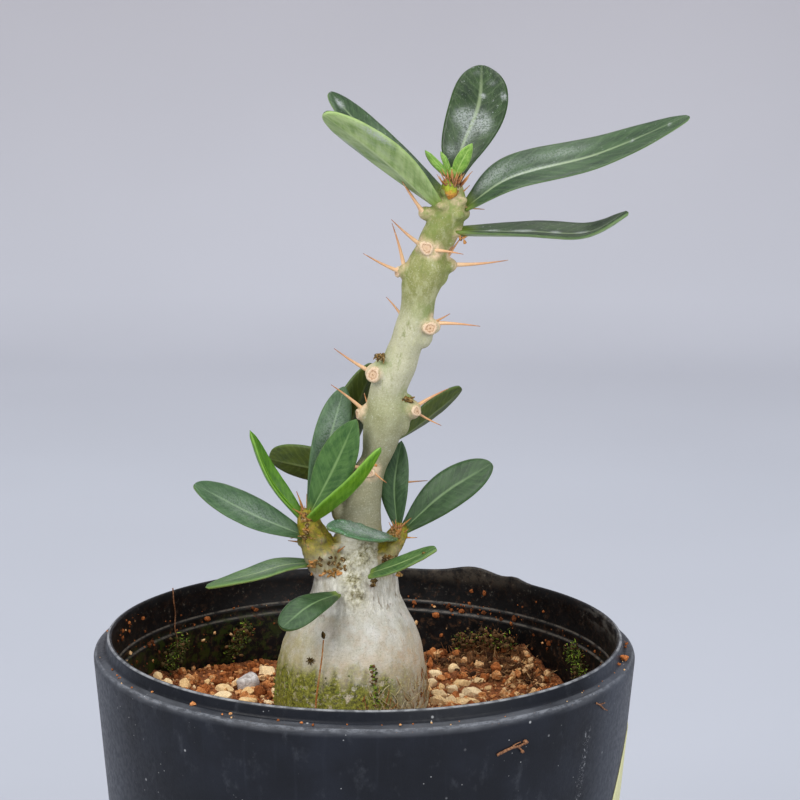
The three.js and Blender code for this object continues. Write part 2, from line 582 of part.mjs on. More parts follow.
// Each leaf stops at the stem and at the leaves before it
let taken = woodGrown.add(ball(BUD_HEART, GAP));
BUD_LEAVES.forEach((leaf) => {
  taken = taken.add(blade({ ...YOUNG_SHAPE, ...leaf }, GAP, 6, 2));
});
Object.entries(LEAVES).forEach(([name, leaf]) => {
  const free = largest(blade(leaf, 0, 10, 4).subtract(taken));
  taken = taken.add(blade(leaf, GAP, 10, 4));
  addPart(name, free, LEAF_COLOURS[name] ?? LEAF_GREEN, 0.45);
});
loose.forEach((entry) => addPart(...entry));
addPart('label', label(0), 0xd9d7a0, 0.6);

export default part;
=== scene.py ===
import math

import bmesh
import bpy
import numpy as np
from mathutils import Matrix, Vector, noise


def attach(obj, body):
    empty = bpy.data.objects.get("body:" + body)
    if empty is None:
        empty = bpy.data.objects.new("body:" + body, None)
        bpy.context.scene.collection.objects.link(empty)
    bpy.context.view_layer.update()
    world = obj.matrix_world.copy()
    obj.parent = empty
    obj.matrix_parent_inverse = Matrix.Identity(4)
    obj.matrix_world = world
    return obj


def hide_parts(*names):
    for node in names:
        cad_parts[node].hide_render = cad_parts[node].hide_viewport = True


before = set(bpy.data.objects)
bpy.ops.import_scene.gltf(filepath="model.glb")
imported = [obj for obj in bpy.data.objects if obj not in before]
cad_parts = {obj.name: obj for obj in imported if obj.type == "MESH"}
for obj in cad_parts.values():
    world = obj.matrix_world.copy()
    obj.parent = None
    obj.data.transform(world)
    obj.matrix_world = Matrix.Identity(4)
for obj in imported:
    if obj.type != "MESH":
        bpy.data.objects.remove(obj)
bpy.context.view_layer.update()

# The tables below are in millimetres, in the row frame: z up, the camera side is -y
MM = 0.001
POT_HEIGHT = 78.0
POT_FLOOR = 1.8
POT_SIDES = 240
DRAIN_HOLES = 6
DRAIN_RADIUS = 3.0
DRAIN_CIRCLE = 24.0
LIP_FOOT = 74.0
SOIL_LEVEL = 61.4
SOIL_MOUND = 1.4
SOIL_REACH = 40.6
CAUDEX_X = -2.3
CAUDEX_CLEAR = 13.2
LEAF_THICKNESS = 0.75
CLAY_CRUMBS = 3600
PUMICE_CRUMBS = 260
# Radians from one bristle to the next that spread them evenly
EVEN_TURN = 2.4
# A slanting direction that the sides of every rod are turned by
OFF_AXIS = (0.3, 0.2, 0.93)

# Camera: place, slope, roll and lens as the rim and the sides of the pot give them
CAMERA_PLACE = (5.6, -431.6, 205.3)
CAMERA_PITCH = 11.51
CAMERA_ROLL = 0.43
CAMERA_LENS = 120.6

# Pot wall: the outside from the floor up to the lip, then the inside down to the floor
POT_OUTSIDE = [
    (37.6, 0), (38.2, 0.25), (38.6, 0.9), (38.8, 2.0), (40.3, 19), (42.0, 39), (43.7, 58.5),
    (44.95, 72.8), (45.08, 74.2), (45.1, 74.8), (44.95, 75.3), (44.6, 75.62), (44.1, 75.8),
    (43.9, 75.92), (43.6, 76.02), (43.35, 76.0), (43.2, 76.1), (43.12, 76.5), (42.96, 77.5),
    (42.9, 77.8), (42.78, 77.95), (42.6, 78.0),
]
# Points of the ledge that loose crumbs lie on, from its inner edge out
LEDGE = (15, 14, 12, 11)
POT_INSIDE = [
    (42.4, 78.0), (42.22, 77.93), (42.12, 77.7), (42.05, 76.0), (42.0, 71.95), (41.92, 71.75),
    (41.7, 71.55), (41.68, 71.2), (41.7, 70.5), (41.62, 70.25), (41.35, 70.05), (41.28, 69.6),
    (40.9, 58), (38.6, 30), (36.7, 6), (35.6, POT_FLOOR),
]

# Caudex and trunk, bottom to top: centre x, height, radius
TRUNK = [
    (-2.3, 52.0, 8.0), (-2.3, 56.0, 10.4), (-2.3, 60.0, 12.2), (-2.3, 64.4, 12.8),
    (-2.3, 68.6, 12.8), (-2.2, 73.5, 12.2), (-2.1, 76.3, 11.5), (-2.0, 78.4, 10.7),
    (-1.8, 80.8, 9.4), (-1.7, 83.3, 8.0), (-1.6, 85.0, 7.3), (-1.5, 87.6, 6.9),
    (-1.4, 90.2, 5.9), (-1.2, 92.7, 4.8), (-1.0, 95.3, 3.8), (-0.9, 98.0, 3.5),
    (-0.7, 99.6, 3.3), (-0.1, 103.5, 2.95), (0.8, 106.1, 2.7), (2.0, 108.3, 2.6),
    (2.6, 111.1, 3.1), (3.0, 113.2, 3.4), (3.3, 115.2, 3.5), (3.5, 118.5, 3.1),
    (4.2, 120.7, 3.2), (5.1, 122.9, 3.2), (6.1, 125.7, 2.9), (7.1, 127.9, 3.0),
    (7.9, 130.6, 3.0), (8.2, 132.0, 2.85), (8.5, 134.1, 2.8), (9.1, 137.0, 3.4),
    (9.8, 139.3, 3.6), (10.2, 141.5, 3.1), (10.8, 143.1, 2.75), (11.4, 144.8, 2.75),
    (12.7, 147.1, 2.9), (13.6, 149.7, 2.55), (13.7, 152.1, 2.0), (13.7, 153.4, 1.5),
]
LEFT_SHOOT = [
    (-4.2, -1.0, 86.0, 2.2), (-5.6, -1.6, 88.6, 3.5), (-6.6, -2.0, 91.0, 3.5),
    (-7.6, -2.2, 93.4, 3.0), (-8.5, -2.3, 95.6, 2.5), (-9.3, -2.4, 97.6, 1.9),
    (-9.7, -2.4, 99.2, 1.1),
]
RIGHT_SHOOT = [
    (0.6, -2.4, 88.4, 1.8), (2.0, -3.0, 90.6, 2.6), (3.4, -2.6, 92.4, 2.4),
    (4.6, -1.9, 94.0, 2.1), (5.4, -1.2, 95.4, 1.7), (5.8, -0.9, 96.6, 0.9),
]
# Knobs: centre, then half sizes along x, y and z
KNOBS = [
    (9.7, -1.6, 142.9, 1.8, 1.6, 1.4), (6.6, -0.6, 138.9, 1.6, 1.4, 1.4),
    (13.2, -0.2, 139.9, 1.6, 1.4, 1.3), (10.3, -1.7, 130.0, 1.9, 1.6, 1.4),
    (1.8, -1.5, 122.3, 2.0, 1.8, 1.6), (2.4, -1.2, 124.0, 0.9, 0.9, 1.2),
    (0.2, 0.0, 115.0, 1.6, 1.4, 1.7), (7.5, -0.8, 116.0, 1.6, 1.5, 1.7),
    (7.0, -0.8, 117.6, 0.8, 0.9, 1.0), (0.6, -1.7, 105.9, 1.5, 1.5, 1.2),
    (9.6, -0.6, 148.4, 1.3, 1.3, 1.2), (15.3, -0.2, 148.4, 1.5, 1.3, 1.3),
    (14.0, -0.8, 145.4, 1.6, 1.4, 1.0), (12.0, -1.0, 150.0, 1.5, 1.4, 1.2),
    (-4.4, -0.6, 98.6, 1.3, 1.2, 1.7), (-4.6, -1.4, 90.2, 2.2, 2.3, 2.2),
    (1.3, -6.8, 88.6, 1.1, 1.5, 1.2), (-10.2, -2.0, 94.0, 1.2, 1.1, 1.1),
]
# Spines: root on the bark, then point
SPINES = [
    ((9.2, -1.2, 148.7), (5.5, -3.0, 154.1)), ((8.9, -0.8, 148.4), (6.4, -2.0, 152.8)),
    ((8.3, -1.8, 143.8), (4.0, -4.0, 147.8)), ((10.9, -2.4, 142.6), (15.6, -5.0, 142.4)),
    ((5.3, -0.5, 138.9), (-0.5, -3.0, 142.1)), ((6.0, -0.4, 139.9), (4.1, -2.6, 147.0)),
    ((14.7, 0.0, 140.0), (22.9, -3.0, 141.2)), ((13.6, 0.0, 141.8), (15.5, -1.0, 144.8)),
    ((13.2, 0.4, 141.8), (15.0, 2.0, 144.6)), ((11.5, -1.5, 130.5), (18.5, -4.0, 130.5)),
    ((11.3, -1.5, 130.9), (13.6, -3.2, 132.4)), ((5.4, 1.6, 131.6), (3.2, 5.0, 133.7)),
    ((0.2, -1.2, 122.7), (-5.2, -3.0, 126.5)), ((-0.6, 0.0, 115.8), (-5.7, -2.0, 120.3)),
    ((0.5, 0.2, 116.2), (-0.3, 0.6, 118.4)), ((8.5, -0.6, 116.6), (13.5, -2.0, 119.8)),
    ((8.7, -0.6, 115.3), (12.4, -2.5, 113.7)), ((-0.4, -2.0, 106.2), (-5.3, -3.0, 107.5)),
    ((1.2, -2.4, 106.0), (3.5, -5.0, 104.6)), ((2.4, 1.6, 102.4), (10.3, 4.0, 102.9)),
    ((14.9, -0.4, 149.6), (19.0, -2.0, 149.3)), ((14.4, -0.8, 152.2), (17.0, -1.6, 155.4)),
    ((14.2, -0.4, 150.8), (16.6, -0.6, 153.0)), ((-9.9, -2.2, 97.8), (-11.3, -3.0, 102.6)),
    ((-9.4, -1.4, 97.8), (-9.7, -0.6, 101.6)), ((-10.6, -2.0, 93.6), (-12.7, -3.0, 94.2)),
    ((5.9, -1.4, 94.6), (8.6, -3.0, 94.9)), ((-5.0, 0.2, 90.0), (-9.0, 4.4, 92.4)),
    ((11.6, 1.6, 142.4), (13.0, 6.6, 145.0)), ((9.2, 1.8, 130.2), (7.4, 7.6, 132.4)),
    ((5.8, 1.8, 122.4), (8.2, 7.4, 124.4)), ((4.2, 1.9, 114.8), (5.6, 8.0, 116.8)),
    ((-9.6, -3.0, 95.4), (-12.2, -4.6, 95.0)), ((-8.4, -4.0, 94.6), (-9.2, -6.2, 95.6)),
    ((-4.4, -4.2, 92.8), (-3.2, -6.2, 94.2)), ((-9.8, -3.0, 98.2), (-11.9, -4.4, 100.0)),
    ((5.6, -2.0, 95.2), (4.8, -4.0, 97.0)), ((6.0, -1.2, 96.2), (7.6, -2.2, 98.0)),
    ((3.6, -4.2, 91.4), (5.8, -6.2, 90.6)),
]
# Bristles of the crown bud and of the shoots' tops: middle, half sizes, how many, least and most length
BRISTLES = [
    (13.9, -2.4, 153.6, 1.4, 0.6, 34, 1.2, 2.7), (-9.6, -2.4, 98.0, 1.0, 0.7, 16, 0.9, 2.3),
    (-9.9, -2.2, 94.0, 0.5, 0.5, 6, 0.8, 1.5), (5.4, -2.0, 96.0, 0.9, 0.6, 14, 0.7, 1.7),
]
# Stubs of fallen leaves on the shoots and under the crown: centre and half size
STUBS = [
    (-9.4, -3.6, 96.4, 0.95), (-7.2, -4.3, 94.8, 1.0), (-6.2, -5.0, 92.0, 1.1), (-4.4, -3.9, 93.4, 0.9),
    (-9.0, -3.8, 93.4, 0.85), (-3.6, -4.6, 90.6, 0.9), (-8.2, -2.6, 91.0, 0.9), (-10.4, -2.6, 98.0, 0.8),
    (5.0, -2.6, 94.4, 0.85), (3.0, -4.6, 92.0, 0.95), (4.8, -3.4, 92.4, 0.8), (1.6, -4.8, 90.2, 0.8),
    (14.6, -1.9, 148.4, 1.3), (12.3, -2.1, 149.8, 1.0), (15.4, -1.4, 150.6, 0.9), (12.6, -1.8, 152.0, 0.9),
]
# Dry scales: middle, half sizes of the patch, how many, length, shade from brown to orange
SCALES = [
    (-6.2, -4.4, 89.3, 2.6, 0.5, 0.5, 18, 0.6, 0.5), (-4.0, -4.4, 90.8, 1.0, 0.5, 1.0, 12, 0.5, 0.2),
    (-8.6, -3.0, 90.6, 0.6, 0.5, 0.7, 8, 0.6, 0.45), (-6.4, -4.2, 91.4, 1.8, 0.5, 0.8, 9, 0.5, 0.1),
    (2.3, -2.6, 125.0, 0.6, 0.3, 0.3, 12, 1.1, 0.2), (6.9, -2.2, 117.8, 0.5, 0.3, 0.3, 9, 0.8, 0.15),
    (4.9, -1.9, 95.6, 0.8, 0.5, 0.7, 22, 0.7, 0.4), (4.2, -3.4, 91.6, 1.3, 0.3, 0.5, 20, 0.5, 0.2),
    (-9.6, -2.6, 98.2, 0.9, 0.5, 0.6, 24, 0.8, 0.3), (-9.9, -2.4, 95.6, 0.5, 0.5, 1.4, 14, 0.6, 0.3),
    (5.6, -3.0, 88.7, 0.3, 0.3, 0.3, 6, 0.5, 0.35), (1.7, -6.6, 88.4, 0.4, 0.3, 0.4, 8, 0.6, 0.0),
    (0.9, -2.4, 106.6, 0.9, 0.3, 0.4, 10, 0.6, 0.6), (13.7, -1.6, 151.9, 0.9, 0.3, 0.3, 12, 0.7, 0.6),
    (15.6, -1.0, 144.6, 0.5, 0.3, 0.8, 8, 0.7, 0.7), (13.9, -2.2, 153.6, 1.2, 0.4, 0.5, 26, 1.0, 0.1),
]
# Leaf scars on the knobs: centre, the way it looks, radius
SCARS = [
    ((9.7, -3.3, 143.1), (0.1, -1, 0.15), 1.15), ((10.4, -3.3, 130.0), (0.1, -1, 0.1), 1.15),
    ((1.1, -3.3, 122.2), (-0.3, -1, 0.1), 1.2), ((8.4, -2.2, 116.0), (0.6, -0.9, 0.1), 0.9),
    ((0.6, -3.1, 105.8), (0, -1, 0.1), 0.9), ((5.1, -0.6, 138.8), (-0.9, -0.6, 0.1), 0.85),
    ((-1.5, -0.2, 115.0), (-1, -0.4, 0), 0.85),
]

# Leaves: midrib from root to point, the way the upper face looks at the root and at the end,
# full width, place of the widest part, bluntness, channel depth at the root and at the point,
# width at the root as a share, how late the blade widens, finish; LEAF holds what most share
LEAF = dict(peak=0.5, blunt=0.6, fold=(0.2, 0.1), root=0.2, rise=1.1)
LEAVES = {
    "leaf_top_centre": dict(
        rib=[(14.0, 0.8, 152.4), (15.1, 2.4, 158.0), (18.1, 6.0, 165.6), (18.6, 10.0, 171.4)],
        face=(-0.1, -0.95, 0.3), end=(0, -0.9, 0.4), width=9.4, peak=0.64, blunt=0.5, fold=(0.3, 0.05),
        rise=1.6, finish="crown"),
    "leaf_top_right": dict(
        rib=[(16.0, -0.4, 149.4), (22.5, -2.0, 154.4), (37.0, -4.6, 158.7), (51.0, -8.0, 165.0)],
        face=(-0.2, -0.5, 0.8), end=(-0.2, -0.5, 0.85), width=9.4, peak=0.42, blunt=0.66, fold=(0.4, 0.05),
        root=0.26, finish="old"),
    "leaf_top_right_low": dict(
        rib=[(14.8, -0.8, 145.6), (26.2, -4.4, 146.2), (35.6, -7.0, 146.5), (41.6, -9.0, 149.9)],
        face=(0, -0.2, 0.95), end=(-0.2, -0.14, 0.97), width=7.8, blunt=0.75, fold=(0.35, 0.15), root=0.35,
        finish="crown"),
    "leaf_top_left": dict(
        rib=[(11.4, -1.2, 150.0), (2.4, -6.0, 158.6), (-6.6, -10.0, 165.4)], face=(0.45, 0.6, 0.55),
        end=(0.35, 0.6, 0.65), width=8.7, blunt=0.48, root=0.3, finish="pale"),
    "leaf_top_left_back": dict(
        rib=[(12.0, 1.6, 151.0), (0.8, 6.0, 159.8), (-6.4, 8.0, 167.0)], face=(0.4, -0.4, 0.8), width=8.2,
        fold=(0.3, 0.15), root=0.42, finish="old"),
    "leaf_left_long": dict(
        rib=[(-9.4, -2.2, 94.6), (-18.8, -5.2, 99.4), (-27.7, -9.0, 104.9)], face=(0.3, -0.55, 0.8),
        width=7.4, peak=0.55, blunt=0.62, fold=(0.4, 0.05), finish="grown"),
    "leaf_left_young": dict(
        rib=[(-10.2, -2.0, 97.6), (-15.3, -3.0, 104.6), (-18.8, -5.0, 113.2)], face=(0.8, -0.5, 0.4),
        width=3.3, peak=0.4, blunt=0.9, fold=(0.7, 0.7), root=0.3, finish="young"),
    "leaf_left_front": dict(
        rib=[(-9.0, -3.2, 98.0), (-5.6, -6.2, 101.3), (-1.1, -10.0, 106.4), (2.6, -13.0, 112.3)],
        face=(-0.6, 0.5, 0.6), end=(-0.5, 0.4, 0.7), width=4.1, peak=0.4, blunt=0.7, fold=(0.5, 0.7),
        root=0.5, finish="young"),
    "leaf_left_upright": dict(
        rib=[(-9.0, -2.6, 98.8), (-5.0, -3.2, 106.9), (-1.5, -4.2, 115.0)], face=(-0.3, -0.9, 0.3),
        width=6.7, blunt=0.8, finish="fresh"),
    "leaf_left_tall": dict(
        rib=[(-9.2, -1.4, 98.4), (-5.8, 1.0, 111.2), (-3.6, 3.0, 119.0)], face=(0.1, -0.95, 0.2),
        end=(0.1, -0.95, 0.3), width=5.6, blunt=0.65, fold=(0.2, 0.05), finish="grown"),
    "leaf_left_behind": dict(
        rib=[(-8.6, -0.6, 98.0), (-4.0, 5.0, 110.0), (0.9, 7.0, 122.2)], face=(-0.5, 0.8, 0.3), width=7.8,
        peak=0.6, finish="olive"),
    "leaf_left_back": dict(
        rib=[(-1.4, 1.4, 104.8), (-8.4, 4.5, 105.2), (-16.2, 8.5, 105.7)], face=(0, 0.9, 0.4),
        end=(0.1, 0.9, 0.4), width=7.5, peak=0.55, blunt=0.45, finish="olive"),
    "leaf_left_low": dict(
        rib=[(-8.2, -1.6, 90.1), (-13.5, -3.6, 90.1), (-18.1, -5.6, 89.1), (-25.9, -9.0, 87.8)],
        face=(0, -0.14, 0.97), end=(-0.3, -0.15, 0.93), width=6.4, blunt=0.75, fold=(0.25, 0.1), root=0.25,
        finish="light"),
    "leaf_caudex": dict(
        rib=[(-4.4, -7.0, 86.2), (-8.9, -13.0, 85.8), (-13.0, -17.0, 83.2)], face=(-0.1, -0.6, 0.8),
        end=(-0.4, -0.7, 0.6), width=6.0, peak=0.6, blunt=0.45, fold=(0.2, 0.05), root=0.25, finish="deep"),
    "leaf_right_upright": dict(
        rib=[(5.4, -0.8, 95.6), (4.8, 0.4, 102.9), (5.9, 2.0, 110.1)], face=(-0.3, -0.9, 0.1),
        end=(-0.2, -0.95, 0.1), width=4.8, blunt=0.8, finish="deep"),
    "leaf_right_long": dict(
        rib=[(6.0, -0.8, 95.2), (12.8, -1.6, 101.9), (20.8, -3.0, 107.4)], face=(-0.4, -0.8, 0.5),
        end=(-0.2, -0.75, 0.6), width=7.2, peak=0.58, blunt=0.55, fold=(0.2, 0.05), finish="deep"),
    "leaf_right_front": dict(
        rib=[(5.2, -2.6, 94.6), (-0.4, -8.4, 97.0), (-6.1, -12.0, 99.0)], face=(0, -0.3, 0.95),
        end=(0.1, -0.35, 0.9), width=6.4, blunt=0.8, fold=(0.2, 0.15), finish="wrinkled"),
    "leaf_right_low": dict(
        rib=[(1.0, -8.2, 90.0), (6.2, -10.8, 92.6), (11.6, -13.2, 95.7)], face=(-0.1, -0.35, 0.9),
        end=(-0.3, -0.3, 0.9), width=4.6, peak=0.35, blunt=0.5, fold=(0.1, 0.2), root=0.55, finish="light"),
    "leaf_back_right": dict(
        rib=[(4.0, 2.0, 110.0), (9.8, 6.0, 113.6), (15.8, 8.0, 118.0)], face=(-0.5, 0.6, 0.6),
        end=(-0.4, 0.6, 0.7), width=6.6, peak=0.58, finish="olive"),
}
# Young leaves of the crown bud
YOUNG = dict(face=(0.2, -0.8, 0.5), peak=0.35, blunt=0.9, fold=(0.2, 0.2), root=0.5, finish="young")
BUD_LEAVES = [
    dict(YOUNG, rib=[(13.3, -0.6, 154.4), (10.9, -1.8, 156.8), (9.3, -3.0, 158.9)], width=1.5),
    dict(YOUNG, rib=[(13.4, -0.4, 154.6), (12.6, -1.2, 157.0), (11.8, -1.6, 158.6)], width=1.0),
    dict(YOUNG, rib=[(14.2, -0.4, 154.6), (15.6, -1.4, 157.6), (16.9, -2.4, 160.0)], width=2.4),
]
BUD_HEARTS = [(13.8, -0.2, 154.8, 1.2, 1.1, 1.3), (13.2, -1.9, 152.9, 1.25, 0.9, 1.5)]

# Loose pieces on the soil: centre x, centre y, half sizes
GRAINS = {
    "stone_grey": (-20.8, 18.6, 2.2, 2.0, 2.0),
    "grain_cream_a": (-18.0, 26.6, 1.8, 1.5, 1.4),
    "grain_cream_b": (-24.8, 16.0, 1.9, 1.3, 1.1),
    "grain_cream_c": (-20.4, 13.4, 1.6, 1.3, 1.2),
    "grain_cream_d": (12.2, 26.0, 1.5, 1.4, 1.2),
    "grain_cream_e": (15.8, 27.4, 1.3, 1.2, 1.1),
    "grain_cream_f": (17.0, 20.4, 1.7, 1.4, 1.1),
    "grain_cream_g": (18.4, 15.6, 1.9, 1.5, 1.3),
    "grain_cream_h": (12.8, 13.2, 1.5, 1.3, 1.2),
    "grain_cream_i": (23.9, 25.0, 1.6, 1.2, 1.0),
}
# Moss: darkest and lightest shade, then tufts: degrees round the pot, distance from its axis,
# height, radius
MOSS = {
    "moss_back": (0.0, 0.66, [(64, 38.2, 66.0, 1.6), (61, 38.0, 66.8, 1.8), (57, 38.0, 67.3, 1.8),
                              (53, 38.0, 67.4, 1.8), (49.5, 38.1, 67.0, 1.7)]),
    "moss_right": (0.3, 0.85, [(24, 39.2, 70.2, 1.3), (22, 39.1, 68.7, 1.5), (19, 39.1, 67.2, 1.5)]),
    "moss_left": (0.3, 0.8, [(151, 39.1, 66.2, 1.6), (148.5, 39.1, 67.6, 1.5), (146, 39.2, 68.8, 1.4)]),
    "moss_left_back": (0.3, 0.72, [(128, 39.0, 65.0, 1.6), (126, 39.1, 66.8, 1.5), (124, 39.1, 68.4, 1.5)]),
}
MOSS_STALK = [(-7.9, -12.4, 66.0), (-7.7, -12.5, 70.0), (-7.2, -12.2, 74.0), (-6.8, -11.6, 77.0),
              (-6.6, -11.0, 79.6)]
STRAW = [(25.0, 20.6, 0.3), (28.4, 26.0, 0.8)]
LABEL = dict(low=18, high=63, lead_high=-9, lead_low=-46, end=38, proud=0.15)
# Cream grains of pumice that lie free: centre x, centre y, half size
PUMICE = [
    (11.4, 20.8, 1.1), (13.2, 18.6, 1.0), (14.9, 16.4, 1.2), (18.4, 9.8, 1.2), (16.6, 8.4, 1.3),
    (12.6, 7.0, 1.5), (14.8, 10.6, 1.3), (21.4, 18.4, 0.9), (19.9, 20.4, 0.8), (23.4, 12.0, 1.0),
    (27.6, 15.4, 0.9), (-24.3, 9.8, 1.7), (-20.2, 7.2, 1.6), (-15.9, 15.4, 1.0), (-27.8, 18.6, 0.9),
    (-31.2, 14.6, 1.3), (-34.6, 12.6, 1.1), (-36.2, 15.6, 1.0), (-14.6, 22.8, 0.8), (-22.8, 21.6, 0.8),
    (9.6, 24.4, 0.9), (3.4, -17.6, 1.3), (-9.8, -19.4, 1.1), (15.4, -12.6, 1.2), (24.6, -8.4, 1.0),
    (-25.8, -14.4, 1.4),
]
# Where soil is caught inside the pot: degrees, their spread, height, its spread, how many
CAUGHT = [
    (64, 14, 70.9, 0.4, 40), (70, 10, 71.9, 0.3, 16), (60, 16, 73.8, 1.2, 8), (50, 14, 68.4, 0.9, 34),
    (148, 14, 70.6, 0.35, 18), (150, 16, 72.3, 0.5, 10), (140, 20, 67.6, 1.0, 46), (166, 5, 75.4, 0.7, 20),
    (100, 36, 68.4, 1.4, 36), (20, 12, 70.4, 1.2, 12), (110, 30, 72.0, 0.4, 12),
]
# Bigger bits in the groove: place, size and shade
GROOVE_BITS = [
    (-26.1, -34.6, 76.2, 0.55, 0.75), (41.5, -12.0, 76.2, 0.45, 0.55), (42.6, -9.3, 76.4, 0.8, 0.5),
    (-20.0, -38.9, 76.1, 0.3, 0.9), (-33.0, -28.4, 76.1, 0.28, 0.8), (6.0, -43.6, 76.1, 0.22, 0.9),
    (-9.0, -43.0, 76.1, 0.24, 0.6),
]
# Dry roots on the outside of the pot: the line of each, its radius, the share left at its end
ROOT_BITS = [
    ([(20.9, -39.7, 70.0), (21.8, -39.3, 70.4), (23.2, -38.5, 70.8), (24.5, -37.7, 70.9),
      (25.6, -37.0, 71.3)], 0.24, 0.8),
    ([(23.9, -38.1, 70.9), (24.5, -37.8, 70.5), (24.8, -37.6, 70.0)], 0.2, 0.6),
    ([(23.0, -38.6, 70.8), (23.8, -38.2, 71.3), (24.6, -37.7, 71.5)], 0.12, 0.6),
    ([(37.0, -25.9, 74.0), (37.8, -24.6, 73.2), (38.3, -23.9, 72.5), (39.1, -22.2, 71.6)], 0.17, 0.5),
    ([(37.6, -24.8, 73.4), (38.6, -23.2, 73.2)], 0.13, 0.5),
]
# The root down the inner wall: height, and how far it strays round the pot in radians
WALL_ROOT = [(78.2, 0), (76.0, 0.005), (73.5, -0.004), (71.2, 0.01), (68.6, 0.004), (65.6, 0.02)]
# Places on the bark: broken and rough, woolly, and green
ROUGH_SPOTS = [(-3.4, -6.0, 91.6), (-2.0, -6.4, 88.6), (-0.6, -5.4, 92.0), (-1.4, -6.8, 86.0),
               (0.6, -4.6, 93.4)]
WOOLLY_SPOTS = [(14.6, -2.2, 150.8), (12.2, -2.6, 150.0), (16.3, -1.0, 149.8), (9.4, -1.6, 148.8),
                (15.6, -1.6, 144.8)]
GREEN_SPOTS = [(7.8, 0, 143.6), (6.2, 0, 139.0), (12.6, -0.5, 149.0), (10.0, -2, 146.5), (9.4, -1.5, 132.6),
               (12.4, 0, 138.4), (2.6, -1.5, 124.4), (7.2, -1.5, 118.0)]
# Lime and painted highlights on the leaves, spot by spot: strength, place and reach along the blade, place
# and reach
# across it; a sixth number puts the spot on both halves and leans it back by so much
LIME_AND_HIGHLIGHTS = {
    "leaf_top_centre": [
        (0.62, 0.57, 0.06, 0.4, 0.34, 0.05), (0.45, 0.47, 0.13, 0.0, 0.3), (0.8, 0.73, 0.018, 0.1, 0.1),
        (0.8, 0.74, 0.025, 0.84, 0.1), (0.2, 0.93, 0.03, -0.25, 0.3), (0.25, 0.84, 0.03, 0.45, 0.2),
        (0.4, 0.32, 0.05, -0.5, 0.3)],
    # The two wide spots on the far half, at -0.5 across, are painted sheen
    "leaf_top_right": [
        (0.45, 0.24, 0.16, -0.5, 0.36), (0.3, 0.55, 0.12, -0.5, 0.25), (0.55, 0.42, 0.16, -0.02, 0.09),
        (0.7, 0.79, 0.007, 0.05, 0.1), (0.7, 0.93, 0.006, 0.1, 0.2)],
    # The first four spots, along the midrib, are painted glints
    "leaf_top_right_low": [
        (0.95, 0.16, 0.03, -0.04, 0.12), (0.95, 0.3, 0.05, -0.04, 0.12), (0.95, 0.47, 0.025, -0.04, 0.12),
        (0.665, 0.62, 0.04, -0.04, 0.12), (0.12, 0.4, 0.3, 0.4, 0.3)],
    # Both spots on this leaf are painted highlights on its wrinkled face
    "leaf_right_front": [(0.7, 0.5, 0.4, 0.1, 0.7), (0.5, 0.3, 0.1, -0.5, 0.3)],
    # The spot near the point is a painted highlight
    "leaf_top_left_back": [(1.0, 0.88, 0.05, -0.1, 0.3), (0.9, 0.62, 0.03, -0.7, 0.25)],
    "leaf_top_left": [
        (0.8, 0.66, 0.14, 0.8, 0.14, 0.0), (0.3, 0.5, 0.3, 0.3, 0.12), (0.25, 0.6, 0.3, -0.35, 0.15)],
}
# A faint film over these three leaves: painted sheen that lightens and greys their tops
for film in ("leaf_left_long", "leaf_left_low", "leaf_left_tall"):
    LIME_AND_HIGHLIGHTS[film] = [(0.3, 0.5, 0.45, 0.0, 0.9)]


# Small helpers for shapes

def unit(v):
    return np.asarray(v, float) / np.linalg.norm(v)


def bump(value, middle, width):
    return np.exp(-(((value - middle) / width) ** 2))


def polar(r, angle, z=0.0):
    """The place at a radius and an angle round the pot's axis, at a height."""
    return np.array((r * math.cos(angle), r * math.sin(angle), z))


def spin(count, start=0.0):
    """The angles of so many even steps round a circle."""
    return (start + np.arange(count)) * 2 * math.pi / count


def smooth_line(points, t):
    """A point on the centripetal Catmull-Rom line through the points, t from 0 to 1."""
    points = np.asarray(points, float)
    last = len(points) - 1
    k = min(int(t * last), last - 1)
    w = t * last - k
    p1, p2 = points[k], points[k + 1]
    p0 = points[k - 1] if k > 0 else 2 * p1 - p2
    p3 = points[k + 2] if k + 2 <= last else 2 * p2 - p1
    d0, d1, d2 = (math.sqrt(np.linalg.norm(b - a)) for a, b in ((p0, p1), (p1, p2), (p2, p3)))
    m1 = ((p1 - p0) / d0 - (p2 - p0) / (d0 + d1) + (p2 - p1) / d1) * d1
    m2 = ((p2 - p1) / d1 - (p3 - p1) / (d1 + d2) + (p3 - p2) / d2) * d1
    return (p1 + m1 * w + (-3 * p1 + 3 * p2 - 2 * m1 - m2) * w ** 2
            + (2 * p1 - 2 * p2 + m1 + m2) * w ** 3)


def smooth_rows(rows, steps):
    """The rows of a table with more rows put between them on a smooth line."""
    count = (len(rows) - 1) * steps
    return np.array([smooth_line(rows, i / count) for i in range(count + 1)])


def radius_at(wall, z):
    radii, heights = zip(*wall)
    if heights[0] > heights[-1]:
        radii, heights = radii[::-1], heights[::-1]
    return float(np.interp(z, heights, radii))


def lip_lift(angle, z):
    """How far the wavy lip lies above or below its even height."""
    wave = 1.4 * bump(angle, 1.1, 0.12) + 0.7 * bump(angle, 0.9, 0.05)
    back = -0.45 * max(0, math.sin(angle)) ** 0.5
    return max(0.0, (z - LIP_FOOT) / (POT_HEIGHT - LIP_FOOT)) * (back + wave)


def soil_height(x, y):
    away = math.hypot(x - CAUDEX_X, y)
    out = (math.hypot(x, y) / 41) ** 5
    angle = math.degrees(math.atan2(y, x))
    bank = out * (4.6 * bump(angle, 168, 27) + 5.2 * bump(angle, 51, 15))
    lumps = 0.45 * math.sin(x * 0.9 + 1.3 * math.sin(y * 0.5)) * math.cos(y * 0.8 + x * 0.3)
    return SOIL_LEVEL + SOIL_MOUND * bump(away, 10, 12) + bank + lumps


